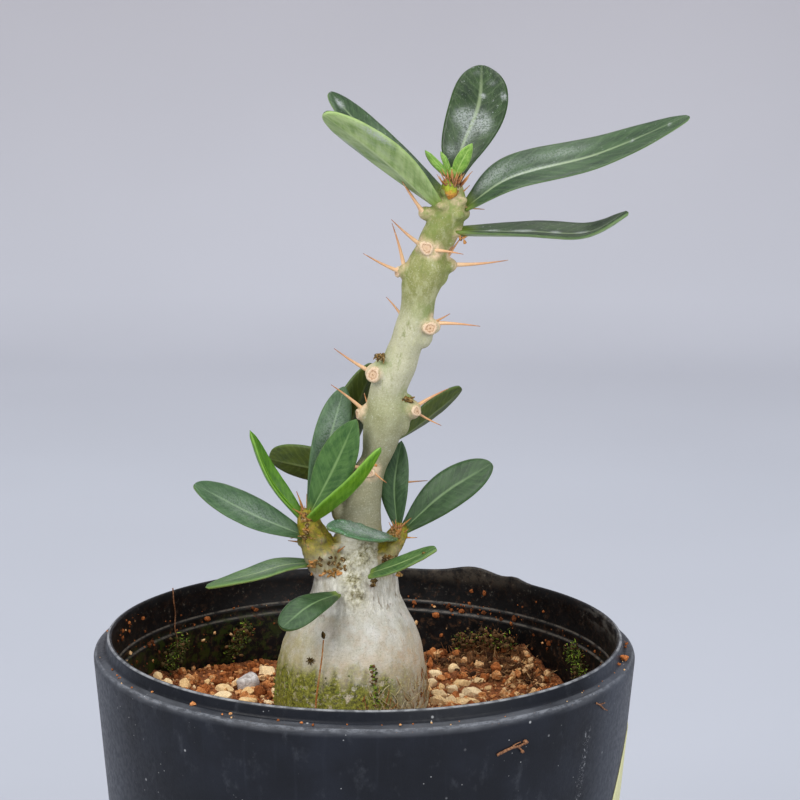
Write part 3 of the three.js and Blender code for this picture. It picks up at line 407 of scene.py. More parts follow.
def grid_faces(rows, columns, closed, start=0):
    """Quads of a grid of rows of points; closed joins the last column to the first."""
    faces = []
    for i in range(rows - 1):
        for k in range(columns if closed else columns - 1):
            n = (k + 1) % columns
            faces.append((start + i * columns + k, start + i * columns + n,
                          start + (i + 1) * columns + n, start + (i + 1) * columns + k))
    return faces


def closed_faces(rows, sides, turned=False):
    """Faces of a closed skin made of rings, with a flat end at each side."""
    faces = grid_faces(rows, sides, True)
    faces += [tuple(range(sides))[::-1], tuple((rows - 1) * sides + k for k in range(sides))]
    return [face[::-1] for face in faces] if turned else faces


def tube(rows, sides):
    """A closed tube of level rings: each row is centre x, y, height and radius."""
    points = [polar(r, a, z) + (x, y, 0) for x, y, z, r in rows for a in spin(sides)]
    faces = grid_faces(len(rows), sides, True)
    top = (len(rows) - 1) * sides
    points += [rows[0][:3], rows[-1][:3] + (0, 0, 0.5)]
    low = len(points) - 2
    for k in range(sides):
        n = (k + 1) % sides
        faces += [(low, n, k), (low + 1, top + k, top + n)]
    return np.array(points), faces


def cord(middles, radii, sides=6):
    """A closed rod round a line of points, with a radius at each."""
    middles = np.asarray(middles, float)
    last = len(middles) - 1
    points = []
    for i, (middle, radius) in enumerate(zip(middles, radii)):
        along = unit(middles[min(i + 1, last)] - middles[max(i - 1, 0)])
        side = unit(np.cross(along, OFF_AXIS))
        other = np.cross(along, side)
        points += [middle + radius * (math.cos(a) * side + math.sin(a) * other) for a in spin(sides)]
    return np.array(points), closed_faces(last + 1, sides)


def sprig(root, point, root_radius, point_radius, sides=6, rows=6, bow=0.0, power=1.0):
    """A tapered rod from root to point, with its sides bowed a little."""
    root, point = np.asarray(root, float), np.asarray(point, float)
    along = unit(point - root)
    way = np.cross(along, unit(np.cross(along, OFF_AXIS)))
    t = np.arange(rows + 1)[:, None] / rows
    reach = bow * np.linalg.norm(point - root) * np.sin(math.pi * t)
    radii = root_radius + (point_radius - root_radius) * t[:, 0] ** power
    return cord(root + (point - root) * t + way * reach, radii, sides)


def thread(points, radius, end=0.5):
    """A thin rod on a smooth line; end is the share of its radius left at the end."""
    middles = smooth_rows(points, 6)
    return cord(middles, radius * np.linspace(1, end, len(middles)))


def ico(detail):
    """Corners and faces of a ball of radius 1 made of even triangles."""
    mesh = bpy.data.meshes.new("ball")
    work = bmesh.new()
    bmesh.ops.create_icosphere(work, subdivisions=detail, radius=1.0)
    work.to_mesh(mesh)
    work.free()
    points = np.array([v.co[:] for v in mesh.vertices])
    faces = [tuple(p.vertices) for p in mesh.polygons]
    bpy.data.meshes.remove(mesh)
    return points, faces


BALLS = {detail: ico(detail) for detail in (1, 2, 3)}


def crumb(place, sizes, seed, detail=2, rough=0.35, flats=5):
    """A rough grain: a ball with its sides pushed in and out and a few flats cut on it."""
    ball, faces = BALLS[detail]
    draw = np.random.default_rng(seed)
    turn = np.array(Matrix.Rotation(draw.uniform(0, 6.28), 3, unit(draw.normal(size=3)).tolist()))
    shape = ball.copy()
    for _ in range(flats):
        flat = unit(draw.normal(size=3))
        reach = draw.uniform(0.55, 0.82)
        over = np.maximum(0, shape @ flat - reach)
        shape -= over[:, None] * flat
    shape *= 1 + rough * (draw.random((len(ball), 1)) - 0.5)
    return shape @ turn.T * np.asarray(sizes) + np.asarray(place), faces


def rubble(draw, place, size, least, most, *shape):
    """A crumb whose three sizes are drawn between two shares of its size."""
    sizes = size * draw.uniform(least, most, 3)
    return crumb(place, sizes, int(draw.integers(1 << 30)), *shape)


def joined(parts):
    """One list of points and faces from several."""
    points, faces, start = [], [], 0
    for p, f in parts:
        points.append(np.asarray(p))
        faces.extend(tuple(i + start for i in face) for face in f)
        start += len(p)
    return np.concatenate(points), faces


def new_object(name, points, faces, material, smooth=True, layers=None):
    mesh = bpy.data.meshes.new(name)
    mesh.from_pydata((np.asarray(points) * MM).tolist(), [], faces)
    mesh.update()
    if smooth:
        mesh.polygons.foreach_set("use_smooth", [True] * len(mesh.polygons))
    for layer, values in (layers or {}).items():
        add_layer(mesh, layer, values)
    mesh.materials.append(material)
    piece = bpy.data.objects.new(name, mesh)
    bpy.context.scene.collection.objects.link(piece)
    return piece


def add_layer(mesh, layer, values):
    values = np.asarray(values, np.float32)
    kind, key = ("FLOAT", "value") if values.ndim == 1 else ("FLOAT_VECTOR", "vector")
    mesh.attributes.new(layer, kind, "POINT").data.foreach_set(key, values.ravel())


def settle(piece, slot, *nodes):
    """Makes the piece ride on the object, in the CAD nodes' place."""
    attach(piece, "root")
    if nodes:
        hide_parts(*nodes)


class Heap:
    """Small parts that become one piece. Each part has a value for each of the heap's layers."""

    def __init__(self, *layers):
        self.parts = []
        self.layers = {layer: [] for layer in layers}

    def add(self, part, *values):
        self.parts.append(part)
        for column, value in zip(self.layers.values(), values):
            column.append(np.full(len(part[0]), value) if np.ndim(value) == 0 else value)

    def settle(self, name, paint, slot, *nodes, smooth=True):
        layers = {layer: np.concatenate(values) for layer, values in self.layers.items()}
        settle(new_object(name, *joined(self.parts), paint, smooth, layers), slot, *nodes)


def applied(piece):
    """Replaces the piece's mesh by what its modifiers make of it."""
    graph = bpy.context.evaluated_depsgraph_get()
    mesh = bpy.data.meshes.new_from_object(piece.evaluated_get(graph))
    old = piece.data
    piece.modifiers.clear()
    piece.data = mesh
    bpy.data.meshes.remove(old)


# Small helpers for materials

class Wire:
    """What a node gives out. Sums and coats of colour are built on it."""

    def __init__(self, paint, socket):
        self.paint = paint
        self.socket = socket

    def __add__(self, other):
        return self.paint.math("ADD", self, other)

    def __radd__(self, other):
        return self.paint.math("ADD", other, self)

    def __sub__(self, other):
        return self.paint.math("SUBTRACT", self, other)

    def __mul__(self, other):
        return self.paint.math("MULTIPLY", self, other)

    def __abs__(self):
        return self.paint.math("ABSOLUTE", self)

    def coat(self, share, *colour):
        """This colour with a share of a screen colour over it."""
        return self.paint.mix(share, self, rgb(*colour))


class Paint:
    """One material, with short calls for its nodes. Lengths are in millimetres."""

    def __init__(self, name, roughness=0.5, specular=0.5):
        self.material = bpy.data.materials.new(name)
        self.material.use_nodes = True
        self.tree = self.material.node_tree
        self.shader = self.tree.nodes["Principled BSDF"]
        self.set("Roughness", roughness)
        self.set("Specular IOR Level", specular)
        self.place = self.vector("MULTIPLY", self.node("TexCoord", {}, "Object"), (1 / MM,) * 3)

    def set(self, socket, value):
        self.put(self.shader.inputs[socket], value)

    def put(self, socket, value):
        if isinstance(value, Wire):
            self.tree.links.new(value.socket, socket)
        elif isinstance(value, tuple) and len(socket.default_value) == 4:
            socket.default_value = (*value, 1)
        else:
            socket.default_value = value

    def node(self, kind, inputs, out=0, **settings):
        """A new node with its settings and inputs; gives one of its outputs."""
        node = self.tree.nodes.new("ShaderNode" + kind)
        for name, value in settings.items():
            setattr(node, name, value)
        for name, value in inputs.items():
            self.put(node.inputs[name], value)
        return Wire(self, node.outputs[out])

    def vector(self, operation, a, b):
        return self.node("VectorMath", {0: a, 1: b}, "Vector", operation=operation)

    def math(self, operation, a, b=0.0, clamp=False):
        return self.node("Math", {0: a, 1: b}, operation=operation, use_clamp=clamp)

    def noise(self, size, detail=3.0, rough=0.5, stretch=None, place=None):
        spot = place or self.place
        if stretch:
            spot = self.vector("DIVIDE", spot, stretch)
        inputs = {"Scale": 1 / size, "Detail": detail, "Roughness": rough, "Vector": spot}
        return self.node("TexNoise", inputs, "Fac")

    def cells(self, size, feature="F1"):
        inputs = {"Scale": 1 / size, "Vector": self.place}
        return self.node("TexVoronoi", inputs, "Distance", feature=feature)

    def layer(self, name, out="Fac"):
        return self.node("Attribute", {}, out, attribute_name=name)

    def split(self, vector):
        first = self.node("SeparateXYZ", {0: vector})
        return [Wire(self, socket) for socket in first.socket.node.outputs]

    def join(self, x, y, z):
        return self.node("CombineXYZ", {0: x, 1: y, 2: z})

    def rise(self, value, low, high, to_low=0.0, to_high=1.0):
        """From to_low to to_high, smoothly, as the value goes from low to high."""
        inputs = {"Value": value, "From Min": low, "From Max": high, "To Min": to_low, "To Max": to_high}
        return self.node("MapRange", inputs, "Result", interpolation_type="SMOOTHSTEP")

    def mix(self, share, a, b, blend="MIX"):
        return self.node("Mix", {"Factor": share, 6: a, 7: b}, 2, data_type="RGBA", blend_type=blend)

    def ramp(self, value, *stops):
        """Screen colours, each at its place, picked by the value."""
        wire = self.node("ValToRGB", {0: value}, "Color")
        marks = wire.socket.node.color_ramp.elements
        while len(marks) < len(stops):
            marks.new(0.5)
        for mark, (spot, *colour) in zip(marks, stops):
            mark.position = spot
            mark.color = (*rgb(*colour), 1)
        return wire

    def done(self, colour, height, depth, strength):
        """Sets the colour and the relief, and gives the finished material."""
        inputs = {"Height": height, "Distance": depth * MM, "Strength": strength}
        self.set("Base Color", colour)
        self.set("Normal", self.node("Bump", inputs, "Normal"))
        return self.material


def rgb(red, green, blue):
    """A colour as a screen shows it, 0 to 255, in the renderer's own units."""
    return tuple(
        c / 12.92 if c <= 0.04045 else ((c + 0.055) / 1.055) ** 2.4
        for c in (red / 255, green / 255, blue / 255))


# Materials

def pot_paint():
    p = Paint("pot_plastic", 0.42, 0.18)
    x, y, z = p.split(p.place)
    # Halfway through the wall, which slopes up to the ledge
    middle = 37.0 + p.math("MINIMUM", z, 72.0) * 0.0765
    out = p.math("SQRT", x * x + y * y)
    inside = p.rise(out - middle, 0.02, -0.02)
    angle = p.math("ARCTAN2", y, x)
    around = p.join(angle * 42.0, 0.0, z)
    cloud = p.noise(9.0, 4)
    streak = p.noise(1.1, 3, stretch=(1, 1, 14), place=around)
    base = p.mix(p.rise(cloud, 0.35, 0.7), rgb(22, 24, 30), rgb(29, 32, 40))
    base = base.coat(p.rise(streak, 0.55, 0.85, 0, 0.2), 52, 56, 66)
    # The lip's face and the groove under it are painted darker, as shade of the groove
    base = base.coat(p.rise(z, 75.9, 76.3) * 0.6, 14, 17, 24)
    # Dust lies on the ledge, and the ledge is also painted lighter as a reflection of the light on its
    # upturned face
    ledge = p.rise(z, 74.2, 75.1) * p.rise(out, 43.35, 43.75)
    cover = p.noise(3.0, 4, 0.6, place=p.join(angle * 12.0, out, z))
    film = ledge * p.rise(cover, 0.32, 0.68, 0.06, 0.32)
    # The lighter line along the ledge's rounded outer edge is a painted highlight, broken up by noise
    edge = p.rise(abs(out - 44.75), 0.34, 0.1) * ledge
    broken = p.noise(0.7, 5, 0.75, place=p.join(angle * 20.0, out, z))
    film = film + edge * p.rise(broken, 0.4, 0.62, 0.1, 0.6)
    base = base.coat(film, 118, 121, 128)
    soil = p.rise(p.noise(0.5, 4, 0.7), 0.66, 0.71) * ledge
    base = base.coat(soil * 0.6, 132, 102, 80)
    # The rounded top of the lip is painted lighter in broken patches: partly dust, partly a painted highlight
    lip_dust_and_highlight = p.rise(z, 77.72, 77.9) * p.rise(p.noise(1.6, 4, 0.6), 0.34, 0.62, 0.25, 0.8)
    base = base.coat(lip_dust_and_highlight, 150, 152, 156)
    dots = p.rise(p.cells(1.3), 0.1, 0.05) * p.rise(p.noise(7, 3), 0.5, 0.62)
    drops = p.rise(p.cells(4.2), 0.07, 0.03) * p.rise(p.noise(12, 2), 0.42, 0.54)
    near = p.rise(z, 46, 76, 0.14, 0.85)
    base = base.coat(p.math("MAXIMUM", dots, drops) * near, 172, 173, 174)
    smear = p.rise(p.noise(4.0, 5, 0.7, stretch=(1, 1, 1.6), place=around), 0.54, 0.76, 0, 0.16)
    base = base.coat(smear, 112, 116, 124)
    # A line of pale scuffs down the right side
    bend = (z - 72.0) * 0.0022
    across = abs(angle - bend + 0.64)
    scuff = p.rise(across, 0.024, 0.008) * p.rise(p.noise(0.5, 5, 0.8), 0.55, 0.62)
    scuff = scuff * (p.rise(z, 71, 69) * p.rise(z, 50, 56))
    base = base.coat(scuff * 0.7, 176, 178, 182)
    sheen = p.rise(abs(angle + 0.4), 0.28, 0.06, 0, 0.36)
    sheen = p.math("MAXIMUM", sheen, p.rise(abs(angle + 2.78), 0.28, 0.06, 0, 0.2))
    base = base.coat(sheen, 72, 78, 90)
    # The inner wall: the same plastic painted nearly black, darker than the outside as shade inside the pot,
    # with dirt near the soil, lime and a green film
    dark = p.mix(p.rise(p.noise(3.0, 4), 0.4, 0.7), rgb(9, 9, 11), rgb(17, 17, 19))
    ring = p.math("MINIMUM", abs(z - 71.78), abs(z - 70.12))
    line = p.rise(ring, 0.2, 0.06) * p.rise(p.noise(1.4, 4, 0.7), 0.34, 0.56, 0.1, 0.7)
    dark = dark.coat(line, 104, 98, 90)
    dirt = p.rise(p.noise(1.2, 5, 0.75), 0.53, 0.62) * p.rise(z, 77, 66, 0.3, 1)
    dark = dark.coat(dirt * 0.7, 66, 47, 34)
    crust = p.rise(p.noise(0.8, 6, 0.8), 0.58, 0.66) * p.rise(p.noise(7, 2), 0.42, 0.58)
    dark = dark.coat(crust * 0.5, 112, 108, 98)
    back = p.rise(abs(angle - 1.15), 0.42, 0.1)
    dusty = back * p.rise(z, 75.0, 77.4) * p.rise(p.noise(1.8, 5, 0.7), 0.34, 0.6)
    dark = dark.coat(dusty * 0.3, 104, 94, 82)
    side = p.rise(abs(angle - 0.1), 0.45, 0.2)
    scrape = p.noise(0.9, 4, 0.7, place=p.join(angle * 10.0, 0.0, z))
    scrape = side * p.rise(z, 73.4, 77.0) * p.rise(scrape, 0.44, 0.6)
    dark = dark.coat(scrape * 0.55, 96, 94, 90)
    green = p.rise(angle, 1.8, 2.1) * p.rise(p.noise(1.6, 5, 0.75), 0.48, 0.58)
    dark = dark.coat(green * p.rise(z, 72, 68.4, 0, 0.85), 44, 54, 16)
    rough = p.rise(p.noise(0.8, 4), 0.3, 0.7, 0.34, 0.48)
    p.set("Roughness", rough + film * 0.3)
    fine = p.noise(0.35, 3) + streak * 0.6
    return p.done(p.mix(inside, base, dark), fine, 0.05, 0.4)


def soil_paint():
    p = Paint("soil_mix", 0.95, 0.2)
    grit = p.noise(0.8, 6, 0.75)
    base = p.ramp(grit, (0.34, 96, 56, 34), (0.46, 146, 86, 50), (0.56, 182, 112, 68), (0.68, 210, 152, 102))
    # Painted shade in the low gaps between grains, where the relief below sinks
    gap_shade = p.rise(p.cells(0.9), 0.3, 0.7)
    base = base.coat(gap_shade * 0.5, 92, 54, 34)
    rough = p.noise(0.4, 5, 0.75) + p.cells(0.9) * -0.8
    return p.done(base, rough, 0.5, 1.0)


def crumb_paint(name, stops, roughness=0.95, dark=0.6):
    """Crumbs of one kind: the tint layer picks a colour for each crumb."""
    p = Paint(name, roughness, 0.2)
    tint = p.layer("tint")
    base = p.ramp(tint + p.rise(p.noise(0.6, 4), 0.3, 0.7, -0.09, 0.09), *stops)
    shade = p.rise(p.noise(0.3, 5, 0.75), 0.32, 0.68, dark, 1.14)
    return p.done(p.mix(1.0, base, p.join(shade, shade, shade), "MULTIPLY"), p.noise(0.25, 4, 0.7), 0.25, 0.9)


def clay_paint():
    return crumb_paint("clay_crumb", [(0.0, 90, 50, 26), (0.3, 156, 90, 47), (0.6, 198, 120, 66),
                                      (0.85, 218, 150, 92), (1.0, 232, 190, 138)], dark=0.68)


def pumice_paint():
    return crumb_paint("cream_pumice", [(0.0, 216, 162, 102), (0.5, 240, 202, 146), (1.0, 252, 228, 186)],
                       0.9, 0.84)


def stone_paint():
    p = Paint("grey_stone", 0.8, 0.3)
    base = p.ramp(p.noise(1.2, 5, 0.65), (0.3, 140, 130, 126), (0.5, 198, 191, 188), (0.7, 224, 220, 217))
    vein = p.rise(p.cells(1.4, feature="DISTANCE_TO_EDGE"), 0.05, 0.0)
    return p.done(base.coat(vein * 0.5, 128, 104, 92), p.noise(0.5, 5, 0.7), 0.25, 0.7)


def bark_paint():
    p = Paint("bark", 0.6, 0.3)
    x, _, z = p.split(p.place)
    cloud = p.noise(2.8, 4, 0.6)
    low = p.ramp(cloud, (0.3, 172, 166, 150), (0.5, 188, 186, 176), (0.68, 203, 201, 195))
    high = p.ramp(cloud, (0.3, 124, 128, 68), (0.5, 138, 141, 82), (0.7, 152, 153, 98))
    base = p.mix(p.rise(z, 84, 132), low, high)
    # The belly of the caudex: tan towards the soil, olive on the left, fine level lines
    blot = p.noise(1.9, 5, 0.65)
    tan = p.rise(z, 81, 73) * p.rise(blot, 0.32, 0.62, 0.2, 0.75)
    base = base.coat(tan, 196, 181, 152)
    wash = p.rise(z, 86, 80) * p.rise(z, 70, 74)
    base = base.coat(wash * p.rise(p.noise(2.4, 5, 0.65), 0.46, 0.6, 0, 0.22), 190, 160, 132)
    left = p.rise(x, -5, -13) * p.rise(z, 88, 78)
    base = base.coat(left * p.rise(blot, 0.3, 0.65, 0.35, 0.85), 166, 156, 108)
    right = p.rise(x, 2, 8) * p.rise(z, 82, 75)
    base = base.coat(right * p.rise(p.noise(1.2, 5, 0.7), 0.4, 0.6, 0.15, 0.6), 190, 162, 130)
    level = p.noise(0.8, 4, 0.6, stretch=(5, 5, 0.28))
    base = base.coat(p.rise(level, 0.52, 0.7) * p.rise(z, 84, 78, 0, 0.22), 140, 126, 98)
    wrinkle = p.noise(0.6, 4, 0.65, stretch=(6, 6, 0.3))
    foot = p.rise(z, 90, 94) * p.rise(z, 110, 100)
    base = base.coat(foot * p.rise(wrinkle, 0.45, 0.7, 0.1, 0.5), 138, 128, 98)
    pale = p.rise(z, 116, 121) * p.rise(z, 137, 129)
    base = base.coat(pale * 0.55, 206, 202, 182)
    shaded = p.rise(z, 94, 97) * p.rise(z, 118, 104)
    base = base.coat(shaded * 0.7, 128, 124, 90)
    grain = p.noise(0.26, 4, 0.8)
    base = base.coat(p.rise(grain, 0.48, 0.34, 0, 0.45), 116, 114, 78)
    base = base.coat(p.rise(grain, 0.54, 0.68, 0, 0.45), 216, 216, 196)
    fibre = p.noise(0.5, 4, 0.7, stretch=(1, 1, 8))
    shoulder = p.rise(z, 81, 85) * p.rise(z, 95, 90)
    base = base.coat(shoulder * p.rise(fibre, 0.5, 0.64, 0, 0.7), 226, 223, 212)
    base = base.coat(shoulder * p.rise(fibre, 0.46, 0.34, 0, 0.5), 136, 124, 98)
    streaks = p.noise(1.6, 5, 0.7, stretch=(1, 1, 2.6))
    base = base.coat(p.rise(z, 116, 130) * p.rise(streaks, 0.5, 0.62, 0, 0.5), 186, 186, 146)
    base = base.coat(p.rise(z, 112, 130) * p.rise(streaks, 0.46, 0.34, 0, 0.7), 112, 122, 58)
    # Fine lengthwise marks and dark specks
    marks = p.noise(0.42, 4, 0.6, stretch=(1, 1, 4))
    base = base.coat(p.rise(marks, 0.55, 0.74, 0, 0.3), 146, 138, 110)
    speck = p.rise(p.cells(0.95), 0.12, 0.06) * p.rise(p.noise(3, 2), 0.44, 0.62)
    base = base.coat(speck * 0.7, 96, 82, 58)
    base = base.coat(p.rise(p.noise(0.8, 5, 0.75), 0.6, 0.7, 0, 0.4), 220, 218, 208)
    # Cracks at the neck, rough bark beside the left shoot
    crack = p.layer("neck") * p.rise(p.noise(0.7, 4, 0.6, stretch=(1, 1, 9)), 0.58, 0.62)
    crack = crack * p.rise(p.noise(2.2, 2), 0.45, 0.6)
    base = base.coat(crack * 0.7, 118, 100, 74)
    rough = p.layer("rough")
    lumps = p.ramp(p.noise(0.9, 6, 0.75), (0.36, 70, 62, 40), (0.44, 140, 134, 100), (0.52, 186, 182, 158),
                   (0.64, 218, 215, 200))
    base = p.mix(rough, base, lumps)
    # Knobs, shoots and the green of the upper trunk
    base = base.coat(p.layer("knob") * p.rise(p.noise(0.7, 4, 0.7), 0.34, 0.6, 0.35, 0.95), 214, 188, 156)
    body = p.ramp(p.noise(1.1, 5, 0.65), (0.34, 92, 80, 22), (0.47, 124, 116, 34), (0.6, 144, 132, 24),
                  (0.72, 174, 158, 58))
    body = body.coat(p.layer("stub") * p.rise(p.noise(0.7, 4), 0.5, 0.62, 0, 0.6), 190, 140, 74)
    body = body.coat(p.rise(p.noise(0.6, 5, 0.75), 0.56, 0.66, 0, 0.75), 86, 66, 30)
    body = body.coat(p.rise(z, 93.4, 90.6, 0, 0.5), 112, 92, 48)
    base = p.mix(p.layer("shoot"), base, body)
    green = p.layer("green") * p.rise(p.noise(1.3, 4, 0.6), 0.34, 0.64, 0.15, 0.9)
    base = base.coat(green, 112, 132, 58)
    # Algae at the foot
    algae = p.layer("algae") * p.rise(p.noise(1.2, 5, 0.75), 0.34, 0.47)
    moss = p.ramp(p.noise(0.5, 5, 0.75), (0.36, 50, 46, 10), (0.46, 90, 92, 16), (0.56, 126, 128, 30),
                  (0.7, 174, 170, 80))
    base = p.mix(algae * 0.95, base, moss)
    relief = marks * 0.5 + crack * -1.0
    relief = relief + p.noise(0.3, 4, 0.7) * (0.3 + rough)
    relief = relief + algae * p.noise(0.25, 3)
    p.set("Subsurface Weight", 0.05)
    p.set("Subsurface Radius", (0.0012, 0.001, 0.0006))
    return p.done(base, relief, 0.14, 0.7)


def spine_paint():
    p = Paint("spine", 0.42, 0.4)
    t = p.layer("along")
    base = p.ramp(t, (0.0, 236, 212, 180), (0.25, 222, 180, 136), (0.75, 202, 146, 102), (1.0, 146, 94, 64))
    deep = p.ramp(t, (0.0, 92, 48, 22), (0.35, 146, 84, 38), (0.8, 192, 134, 70), (1.0, 128, 74, 38))
    base = p.mix(p.layer("red"), base, deep)
    p.set("Subsurface Weight", 0.12)
    p.set("Subsurface Radius", (0.001, 0.0006, 0.0003))
    base = base.coat(p.rise(p.noise(0.6, 4), 0.5, 0.75, 0, 0.4), 238, 206, 166)
    return p.done(base, p.noise(0.25, 3, stretch=(1, 1, 2)), 0.05, 0.5)


def scale_paint():
    p = Paint("dry_scale", 0.7, 0.25)
    base = p.ramp(p.layer("tint"), (0.0, 70, 52, 24), (0.35, 128, 98, 48), (0.7, 182, 122, 62),
                  (1.0, 214, 156, 96))
    base = base.coat(p.rise(p.noise(0.35, 4), 0.5, 0.7, 0, 0.6), 206, 184, 140)
    return p.done(base, p.noise(0.2, 3), 0.06, 0.5)


def scar_paint():
    p = Paint("scar", 0.75, 0.2)
    ring = p.layer("ring") + p.rise(p.noise(0.5, 4, 0.7), 0.3, 0.7, -0.14, 0.14)
    base = p.ramp(ring, (0.0, 150, 112, 80), (0.12, 206, 174, 140), (0.38, 214, 186, 156),
                  (0.48, 160, 120, 88), (0.58, 216, 188, 158), (0.85, 220, 198, 170), (1.0, 184, 172, 134))
    base = base.coat(p.rise(p.noise(0.25, 4, 0.7), 0.46, 0.7, 0, 0.6), 180, 138, 102)
    return p.done(base, p.noise(0.2, 3), 0.12, 0.7)


# Leaf finishes: upper face dark and light, underside dark and light, midrib, margin; roughness, and the share
# of lime specks, which on the wrinkled finish stand for painted highlights
FINISHES = {
    "crown": ((26, 44, 24), (50, 72, 38), (96, 128, 72), (140, 164, 104), (140, 156, 118),
              (66, 92, 50), 0.34, 0.55),
    "old": ((34, 56, 34), (60, 86, 52), (96, 128, 72), (140, 164, 104), (142, 160, 122),
            (96, 122, 76), 0.34, 0.5),
    "grown": ((42, 74, 42), (76, 106, 70), (90, 112, 62), (120, 140, 84), (128, 154, 116),
              (88, 120, 68), 0.42, 0.15),
    "fresh": ((44, 82, 34), (78, 114, 56), (90, 116, 56), (120, 144, 76), (126, 156, 98),
              (88, 122, 56), 0.42, 0.1),
    # deep: the same greens painted darker, as shade on leaves that face away from the light
    "deep": ((32, 58, 30), (58, 86, 50), (84, 106, 56), (112, 134, 76), (112, 138, 94),
             (76, 106, 56), 0.42, 0.2),
    "bud": ((92, 140, 44), (146, 184, 88), (96, 146, 40), (140, 180, 70), (176, 206, 124),
            (188, 214, 140), 0.4, 0.1),
    "light": ((50, 84, 40), (82, 114, 60), (106, 134, 62), (136, 158, 88), (150, 174, 114),
              (128, 158, 84), 0.44, 0.2),
    "young": ((52, 100, 14), (90, 138, 30), (66, 114, 18), (106, 152, 38), (132, 178, 62),
              (146, 190, 84), 0.38, 0.05),
    "pale": ((40, 70, 40), (66, 96, 56), (118, 146, 78), (170, 190, 130), (184, 200, 150),
             (158, 184, 110), 0.5, 0.3),
    # olive: dark olive undersides, partly their own colour and partly painted shade on leaves at the back
    "olive": ((36, 60, 36), (60, 86, 52), (46, 62, 6), (72, 86, 14), (122, 138, 80), (84, 110, 50), 0.5, 0.1),
    # wrinkled: its many white specks are painted highlights on the wrinkled face
    "wrinkled": ((40, 82, 48), (76, 120, 78), (84, 110, 62), (110, 134, 84), (112, 142, 110),
                 (90, 124, 84), 0.28, 1.0),
}


def leaf_paint(name, row):
    *colours, rough, lime = row
    top_dark, top_light, under_dark, under_light, rib, margin = colours
    p = Paint("leaf_" + name, rough, 0.38)
    t, s, side = p.split(p.layer("blade", "Vector"))
    off = abs(s)
    seed = p.layer("seed")
    flow = p.join(s * 3.2, t * 9.0, seed)
    cloud = p.noise(1.5, 4, 0.6, place=flow)
    fine = p.noise(0.3, 4, 0.65, stretch=(0.4, 1.2, 1), place=flow)
    # Soft bands slant from the midrib to the margin
    climb = t * 9.0 - off * 1.5
    band = p.noise(0.55, 3, 0.5, stretch=(4, 0.7, 1), place=p.join(s * 2.0, climb, seed))
    share = cloud * 0.5 + fine * 0.2
    share = p.rise(share + band * 0.3, 0.36, 0.62)
    above = p.mix(share, rgb(*top_dark), rgb(*top_light))
    below = p.mix(share, rgb(*under_dark), rgb(*under_light))
    vein = p.math("FRACT", climb * 1.7 + cloud * 1.6)
    vein = p.rise(abs(vein - 0.5), 0.16, 0.02)
    above = above.coat(vein * 0.07, *rib)
    below = below.coat(vein * 0.12, *rib)
    face = p.mix(p.rise(side, -0.3, 0.3), below, above)
    stripe = p.rise(off, 0.1, 0.015) * p.rise(t, 1.0, 0.55, 0.2, 0.75)
    face = face.coat(stripe, *rib)
    face = face.coat(p.rise(off, 0.9, 0.99) * 0.6, *margin)
    face = face.coat(p.rise(t, 0.12, 0.0, 0, 0.7), 124, 146, 54)
    dark = p.rise(p.noise(0.22, 3, place=flow), 0.7, 0.74) * 0.5
    face = face.coat(dark, 40, 44, 22)
    # Lime left by water, and the painted highlights and sheen that the same layer puts on some leaves
    dots = p.noise(0.42, 5, 0.78)
    spots = p.rise(dots, 0.68 - 0.12 * lime, 0.73 - 0.1 * lime)
    film = p.rise(p.layer("lime"), 0.0, 0.6, 0, 0.6) * p.rise(p.noise(0.3, 4, 0.8), 0.4, 0.56, 0.15, 1)
    patch = p.layer("lime") + (dots - 0.5) * 1.1
    patch = p.rise(patch, 0.66, 0.84) * p.rise(p.layer("lime"), 0.1, 0.4, 0, 0.75)
    white = p.math("MAXIMUM", spots * min(0.75, lime), p.math("MAXIMUM", film, patch), clamp=True)
    face = face.coat(white, 176, 182, 182)
    p.set("Roughness", p.rise(fine, 0.3, 0.7, rough - 0.06, rough + 0.1))
    ripple = fine * 0.5 + vein * -0.15
    ripple = ripple + (cloud + band) * 0.5
    p.set("Subsurface Weight", 0.06)
    p.set("Subsurface Radius", (0.0006, 0.001, 0.0003))
    return p.done(face, ripple, 0.3 if name == "wrinkled" else 0.1, 0.6)


def moss_paint():
    p = Paint("moss", 0.8, 0.25)
    base = p.ramp(p.layer("tint"), (0.0, 62, 42, 25), (0.25, 118, 82, 50), (0.45, 42, 48, 16),
                  (0.72, 78, 98, 26), (1.0, 152, 180, 60))
    base = base.coat(p.rise(p.noise(0.5, 3), 0.4, 0.7, 0, 0.4), 66, 58, 26)
    return p.done(base, p.noise(0.2, 3), 0.08, 0.5)


def straw_paint(name="straw", pale=rgb(222, 180, 120), deep=rgb(168, 116, 66)):
    p = Paint(name, 0.6, 0.3)
    grain = p.noise(0.3, 4, 0.6, stretch=(1, 3, 1))
    return p.done(p.mix(p.rise(grain, 0.35, 0.65), deep, pale), grain, 0.06, 0.6)


def label_paint():
    p = Paint("label_paper", 0.6, 0.3)
    fibre = p.noise(0.6, 5, 0.7)
    return p.done(p.mix(p.rise(fibre, 0.35, 0.65), rgb(206, 204, 150), rgb(222, 220, 172)), fibre, 0.04, 0.5)


def stage_paint():
    p = Paint("studio_sheet", 0.9, 0.1)
    far = p.layer("far")
    # Painted light and shade along the sheet, by the far layer: darker on the floor near the pot where the
    # lamps light it most, lighter in the middle, darker again at the top
    base = p.ramp(far, (0.0, 182, 186, 197), (0.12, 186, 190, 201), (0.3, 199, 203, 214),
                  (0.5, 212, 214, 224), (0.75, 198, 196, 203), (1.0, 190, 186, 191))
    soft = p.rise(p.noise(160, 2), 0.3, 0.7, 0.985, 1.015)
    p.set("Base Color", p.mix(1.0, base, p.join(soft, soft, soft), "MULTIPLY"))
    return p.material


# The pot

